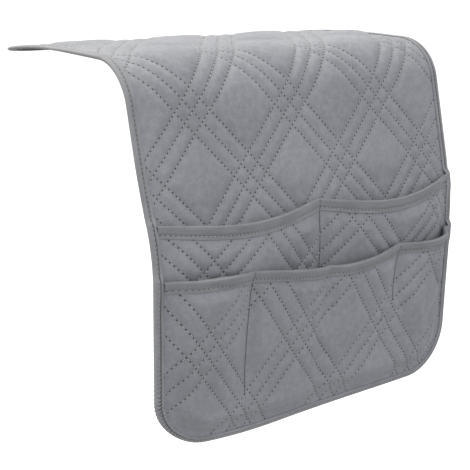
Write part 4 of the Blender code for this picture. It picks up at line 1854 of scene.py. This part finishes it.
@dataclass
class EdgeBinding:
    """Tape folded over the whole outline of the organizer."""

    base: BasePanel
    rows: tuple[PocketRow, ...]
    width: float = 0.0087
    rear_width: float = 0.0072
    tape: float = 0.0006
    ramp: float = 0.006
    step: float = 0.0010
    turn: float = 0.0012
    turn_round: float = 0.0014
    rear_turn: float = 0.0016
    inner_round: float = 0.0003
    front_points: int = 11
    stitch_inset: float = 0.0032
    groove: float = 0.0008
    groove_width: float = 0.0008
    crown: float = 0.0003
    lip: float = 0.0005
    pucker: float = 0.0002
    pucker_reach: float = 0.0044

    def seat(self, u: Field, s: Field) -> Field:
        """Find the height of all that the tape folds over.

        Args:
            u: distances across the cloth, on the rim.
            s: distances up the cloth, on the rim.

        Returns:
            Height at each point.
        """
        height = self.base.plain_top(u, s)
        for row in self.rows:
            above = s - row.mouth(u)
            full = row.plain_top(u, np.minimum(s, row.mouth(u) - self.base.foot))
            share = ease(1 - np.maximum(above, 0.0) / self.ramp)
            height = np.where(above < self.ramp, mix(height, full, share), height)
        return height + SEAT_GAP

    def reach(self, seat: Field) -> Field:
        """How far in the front leg comes: less where the tape folds over a thicker edge."""
        return self.width - 0.5 * seat

    def profile(self, share: Field, reach: Field) -> Field:
        """Find the crown of the tape outside its line of stitching, and the groove along it.

        Args:
            share: place across the front leg, from 0 at its inner edge to 1 at the fold.
            reach: how far in the front leg comes.

        Returns:
            Height to add to the front.
        """
        inset = reach - share * (reach - self.turn)
        line = reach - self.stitch_inset
        outside = np.clip((inset - self.turn) / (line - self.turn), 0.0, 1.0)
        inside = np.clip((inset - line) / self.stitch_inset, 0.0, 1.0)
        groove = self.groove * np.exp(-(((inset - line) / self.groove_width) ** 2))
        return self.crown * np.sin(math.pi * outside) + self.lip * np.sin(math.pi * inside**0.7) - groove

    def build(self, material: bpy.types.Material) -> bpy.types.Object:
        """Make the folded tape as one ring.

        The section runs out along the front leg, round the fold, in along the rear leg, and back
        round the inside of the fold.

        Args:
            material: finish of the tape.

        Returns:
            The finished tape.
        """
        drape, tape, foot = self.base.drape, self.tape, self.base.foot
        u, s, in_u, in_s = (axis[:, None] for axis in drape.outline(self.step))
        seat = self.seat(u + in_u * foot, s + in_s * foot)
        level = np.zeros_like(seat)
        reach = self.reach(seat)
        share = np.linspace(0.0, 1.0, self.front_points)
        back_share = np.linspace(1.0, 0.02, 7)
        fold_turn = np.linspace(0.0, math.pi, 9)[1:-1]
        inner_turn = np.linspace(math.pi, 0.0, 5)[1:-1]
        rear_leg = np.linspace(self.rear_turn, self.rear_width, 6) + level
        inner_rear = np.linspace(self.rear_width, self.rear_turn, 5) + level
        radius, inner_radius = (seat + tape) / 2, (seat - tape) / 2
        depths = (
            reach - share * (reach - self.turn),
            self.turn_round * (1 - np.sin(fold_turn)) + level,
            rear_leg,
            inner_rear,
            tape + self.inner_round * (1 - np.sin(inner_turn)) + level,
            reach - back_share * (reach - self.turn),
        )
        heights = (
            seat + tape + self.profile(share, reach),
            radius + radius * np.cos(fold_turn),
            np.zeros_like(rear_leg),
            np.full_like(inner_rear, tape),
            tape + inner_radius + inner_radius * np.cos(inner_turn),
            seat + np.minimum(self.profile(back_share, reach), 0.0),
        )
        depth, n = np.concatenate(depths, axis=1), np.concatenate(heights, axis=1)
        drawn_in = self.pucker * drape.pucker(u, s)
        depth = depth + drawn_in * np.clip(1 - depth / self.pucker_reach, 0.0, 1.0)
        stitched = (self.front_points - 1) * self.stitch_inset / float(np.mean(reach) - self.turn)
        piece = tape_solid("edge_tape", drape, u + in_u * depth, s + in_s * depth, n, True, stitched)
        return dress(
            piece, material, Slot.BINDING,
            "top_edge_binding", "shoulder_left_binding", "shoulder_right_binding", "drop_edge_binding",
        )

    def build_stitching(self, material: bpy.types.Material, stitch: Stitch) -> bpy.types.Object:
        """Sew the line of stitching that holds the tape.

        Args:
            material: finish of the thread.
            stitch: shape of one stitch.

        Returns:
            All the stitches as one piece.
        """
        u, s, in_u, in_s = self.base.drape.outline(stitch.pitch)
        foot = self.base.foot
        seat = self.seat(u + in_u * foot, s + in_s * foot)
        height = seat + self.tape - self.groove
        inset = self.reach(seat) - self.stitch_inset
        piece = stitch.sew(
            "edge_tape_thread", self.base.drape, u + in_u * inset, s + in_s * inset, -in_s, in_u,
            lambda at_u, at_s: height[:, None] + np.zeros_like(at_u),
        )
        return dress(piece, material, Slot.BINDING)


# The studio


@dataclass(frozen=True)
class Lamp:
    """One large soft lamp."""

    name: str
    place: tuple[float, float, float]
    aim: tuple[float, float, float]
    size: float
    power: float
    colour: Colour = (1.0, 0.965, 0.82)

    def hang(self) -> None:
        """Put the lamp in the scene, turned to its aim."""
        data = bpy.data.lights.new(self.name, "AREA")
        data.shape = "SQUARE"
        data.size = self.size
        data.energy = self.power
        data.color = self.colour
        lamp = bpy.data.objects.new(self.name, data)
        lamp.location = self.place
        towards = Vector(self.place) - Vector(self.aim)
        lamp.rotation_euler = towards.to_track_quat("Z", "Y").to_euler()
        bpy.context.scene.collection.objects.link(lamp)


@dataclass(frozen=True)
class Studio:
    """Camera, soft lamps and a plain pale floor."""

    eye: tuple[float, float, float] = (-0.536, -0.6658, 0.0903)
    azimuth: float = -38.3
    elevation: float = 16.6
    roll: float = 1.3
    lens: float = 77.87
    sensor: float = 36.0
    floor_height: float = -0.60
    floor_size: float = 30.0
    floor_tones: tuple[float, float] = (0.42, 0.46)
    floor_glow: float = 0.85
    world_light: float = 0.70
    lamps: tuple[Lamp, ...] = (
        Lamp("window_lamp", (-0.35, 0.82, 1.28), (0.0, 0.0, 0.0), 1.4, 23.0),
        Lamp("front_lamp", (-0.40, -0.74, 0.66), (0.0, -0.08, -0.10), 0.9, 2.5),
    )

    def build_camera(self) -> None:
        """Stand the camera where the photograph was taken from."""
        data = bpy.data.cameras.new("camera")
        data.sensor_width = self.sensor
        data.lens = self.lens
        camera = bpy.data.objects.new("camera", data)
        bpy.context.scene.collection.objects.link(camera)
        turn, tip, roll = (math.radians(angle) for angle in (self.azimuth, self.elevation, self.roll))
        back = Vector((math.sin(turn) * math.cos(tip), -math.cos(turn) * math.cos(tip), math.sin(tip)))
        side = Vector((0.0, 0.0, 1.0)).cross(back).normalized()
        right = side * math.cos(roll) + back.cross(side) * math.sin(roll)
        axes = Matrix((right, back.cross(right), back)).transposed().to_4x4()
        camera.matrix_world = Matrix.Translation(Vector(self.eye)) @ axes
        bpy.context.scene.camera = camera

    def build_world(self) -> None:
        """Give even pale light from all round, and a white background."""
        world = bpy.data.worlds.new("studio")
        bpy.context.scene.world = world
        world.use_nodes = True
        tree = world.node_tree
        shown = tree.nodes["Background"]
        shown.inputs["Color"].default_value = (1.0, 1.0, 1.0, 1.0)
        path = tree.nodes.new("ShaderNodeLightPath")
        strength = tree.nodes.new("ShaderNodeMapRange")
        strength.inputs["To Min"].default_value = self.world_light
        strength.inputs["To Max"].default_value = 1.0
        tree.links.new(path.outputs["Is Camera Ray"], strength.inputs["Value"])
        tree.links.new(strength.outputs["Result"], shown.inputs["Strength"])

    def build_floor(self) -> None:
        """Lay a large pale floor under the organizer."""
        shape = bmesh.new()
        bmesh.ops.create_grid(shape, x_segments=1, y_segments=1, size=self.floor_size)
        bmesh.ops.translate(shape, verts=shape.verts[:], vec=(0.0, 0.0, self.floor_height))
        floor = new_piece("studio_floor", shape)
        nodes = Nodes("studio_floor")
        white = (1.0, 1.0, 1.0)
        grain = nodes.noise(nodes.place(), 3.0, 2.0, 0.5)
        tone = nodes.blend(grain, *(shade(white, share) for share in self.floor_tones))
        path = nodes.add("ShaderNodeLightPath")
        seen = nodes.sum("MAXIMUM", path.outputs["Is Camera Ray"], path.outputs["Is Glossy Ray"])
        others = {
            "Specular IOR Level": 0.0,
            "Emission Color": shade(white, 1.0),
            "Emission Strength": nodes.sum("MULTIPLY", seen, self.floor_glow),
        }
        floor.data.materials.append(nodes.finish(tone, 0.9, others))

    def build(self) -> None:
        """Set up camera, world, lamps and floor."""
        bpy.context.scene.view_settings.view_transform = "Standard"
        self.build_camera()
        self.build_world()
        for lamp in self.lamps:
            lamp.hang()
        self.build_floor()


# Putting it together


def build_rows(base: BasePanel) -> tuple[PocketRow, PocketRow]:
    """Lay out the two pocket rows.

    Args:
        base: the panel that they are sewn to.

    Returns:
        The upper and the lower row.
    """
    upper = PocketRow(
        name="upper_pockets",
        base=base,
        quilting=Quilting(Rows(0.0915, 0.0968, 1.915), Rows(0.1118, -0.0889, -1.136)),
        under=base.plain_top,
        levels=(0.1826, 0.1812, 0.1814),
        seams=(0.160,),
        seam_ends=(0.0,),
        gape=0.0135,
        floor=0.043,
        sags=(0.0080, 0.0100),
        skews=(1.0, 0.98),
        rest_gap=0.0003,
        rows_shown_from=0.116,
        domes_shown_from=0.143,
        creases=(
            Crease((0.163, 0.172), (0.205, 0.150), 0.0008, 0.004),
            Crease((0.157, 0.172), (0.118, 0.148), 0.0007, 0.004),
            Crease((0.310, 0.178), (0.268, 0.150), 0.0009, 0.005),
            Crease((0.305, 0.165), (0.275, 0.146), -0.0006, 0.004),
        ),
        nodes=(
            "upper_pocket_face_fabric", "upper_pocket_wadding",
            "upper_pocket_lining", "upper_mouth_binding",
        ),
        seed=23,
    )
    lower = PocketRow(
        name="lower_pockets",
        base=base,
        quilting=Quilting(Rows(0.0925, 0.1273, 1.049), Rows(0.1018, -0.1089, -0.400)),
        under=upper.plain_top,
        levels=(0.1430, 0.1414, 0.1362, 0.1367),
        seams=(0.080, 0.240),
        seam_ends=(0.026, 0.070),
        gape=0.0125,
        floor=0.020,
        sags=(-0.0038, 0.0076, 0.0005),
        skews=(1.0, 1.35, 1.0),
        rest_gap=0.0006,
        rows_shown_from=0.0,
        domes_shown_from=0.0,
        creases=(
            Crease((0.242, 0.098), (0.222, 0.050), 0.0022, 0.0042),
            Crease((0.243, 0.096), (0.262, 0.048), -0.0018, 0.0038),
            Crease((0.256, 0.100), (0.280, 0.040), 0.0021, 0.0048),
            Crease((0.286, 0.124), (0.300, 0.080), 0.0020, 0.0045),
            Crease((0.300, 0.090), (0.280, 0.050), -0.0018, 0.0042),
            Crease((0.228, 0.085), (0.205, 0.030), 0.0019, 0.0048),
            Crease((0.232, 0.078), (0.212, 0.052), -0.0016, 0.0036),
            Crease((0.084, 0.130), (0.110, 0.096), 0.0006, 0.004),
            Crease((0.076, 0.128), (0.052, 0.100), 0.0006, 0.004),
        ),
        nodes=(
            "lower_pocket_face_fabric", "lower_pocket_wadding",
            "lower_pocket_lining", "lower_mouth_binding",
        ),
        seed=37,
        tape_start=0.0058,
    )
    return upper, lower


def main() -> None:
    """Build the organizer piece by piece, and the studio round it."""
    logging.basicConfig(level=logging.INFO, format="%(name)s: %(message)s")
    drape = Drape()
    base = BasePanel(drape, Quilting(Rows(0.0925, 0.1065, 3.025), Rows(0.0954, -0.0988, -2.070)))
    upper, lower = build_rows(base)
    stitch = Stitch()
    binding = EdgeBinding(base, (upper, lower))

    # The second number of each tape sets the darkness of its painted stitch-line shade.
    edge_cloth = TapeCloth("edge_tape_cloth", 0.75, gather_shade_drape=drape).material()
    # The mouth tape is a darker copy of the edge tape's cloth: painted shade on the pocket mouths.
    shaded_mouth_cloth = TapeCloth("mouth_tape_cloth", 0.50, (0.288, 0.295, 0.326)).material()
    thread = Fibres("sewing_thread", (0.600, 0.610, 0.640), 0.62, 2600.0, 0.00008).material()
    dark_thread = Fibres("dark_thread", (0.120, 0.124, 0.142), 0.62, 2600.0, 0.00008).material()
    wadding = Fibres("white_wadding", (0.80, 0.80, 0.78), 0.95, 500.0, 0.0004).material()
    backing = PlainCloth("charcoal_backing", (0.072, 0.073, 0.078), 0.85, 7000.0, 0.00012).material()
    lining = PlainCloth("grey_lining", (0.205, 0.210, 0.222), 0.90, 9000.0, 0.0001).material()
    rubber = GripRubber().material()

    Studio().build()
    face = base.build_face(Microfibre("base_microfibre", base.quilting).material())
    filling = base.build_wadding(wadding)
    back = base.build_backing(backing)
    for piece in (
        face, filling, back,
        base.build_grips(rubber),
        base.build_quilting(thread, stitch, lambda u, s: upper.mouth(u)),
        binding.build(edge_cloth),
        binding.build_stitching(thread, stitch),
    ):
        drape.bend(piece)

    for row in (upper, lower):
        cloth = Microfibre(
            f"{row.name}_microfibre", row.quilting, seams=row.seams, seam_ends=row.seam_ends
        )
        row_face = row.build_face(cloth.material())
        row_filling = row.build_wadding(wadding)
        row_back = row.build_lining(lining)
        for piece in (
            row_face, row_filling, row_back,
            row.build_binding(shaded_mouth_cloth),
            row.build_quilting(thread, stitch),
            row.build_dividers(dark_thread, stitch),
            row.build_tape_stitching(thread, stitch),
        ):
            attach(piece, Body.DROP.value)


if __name__ == "__main__":
    main()
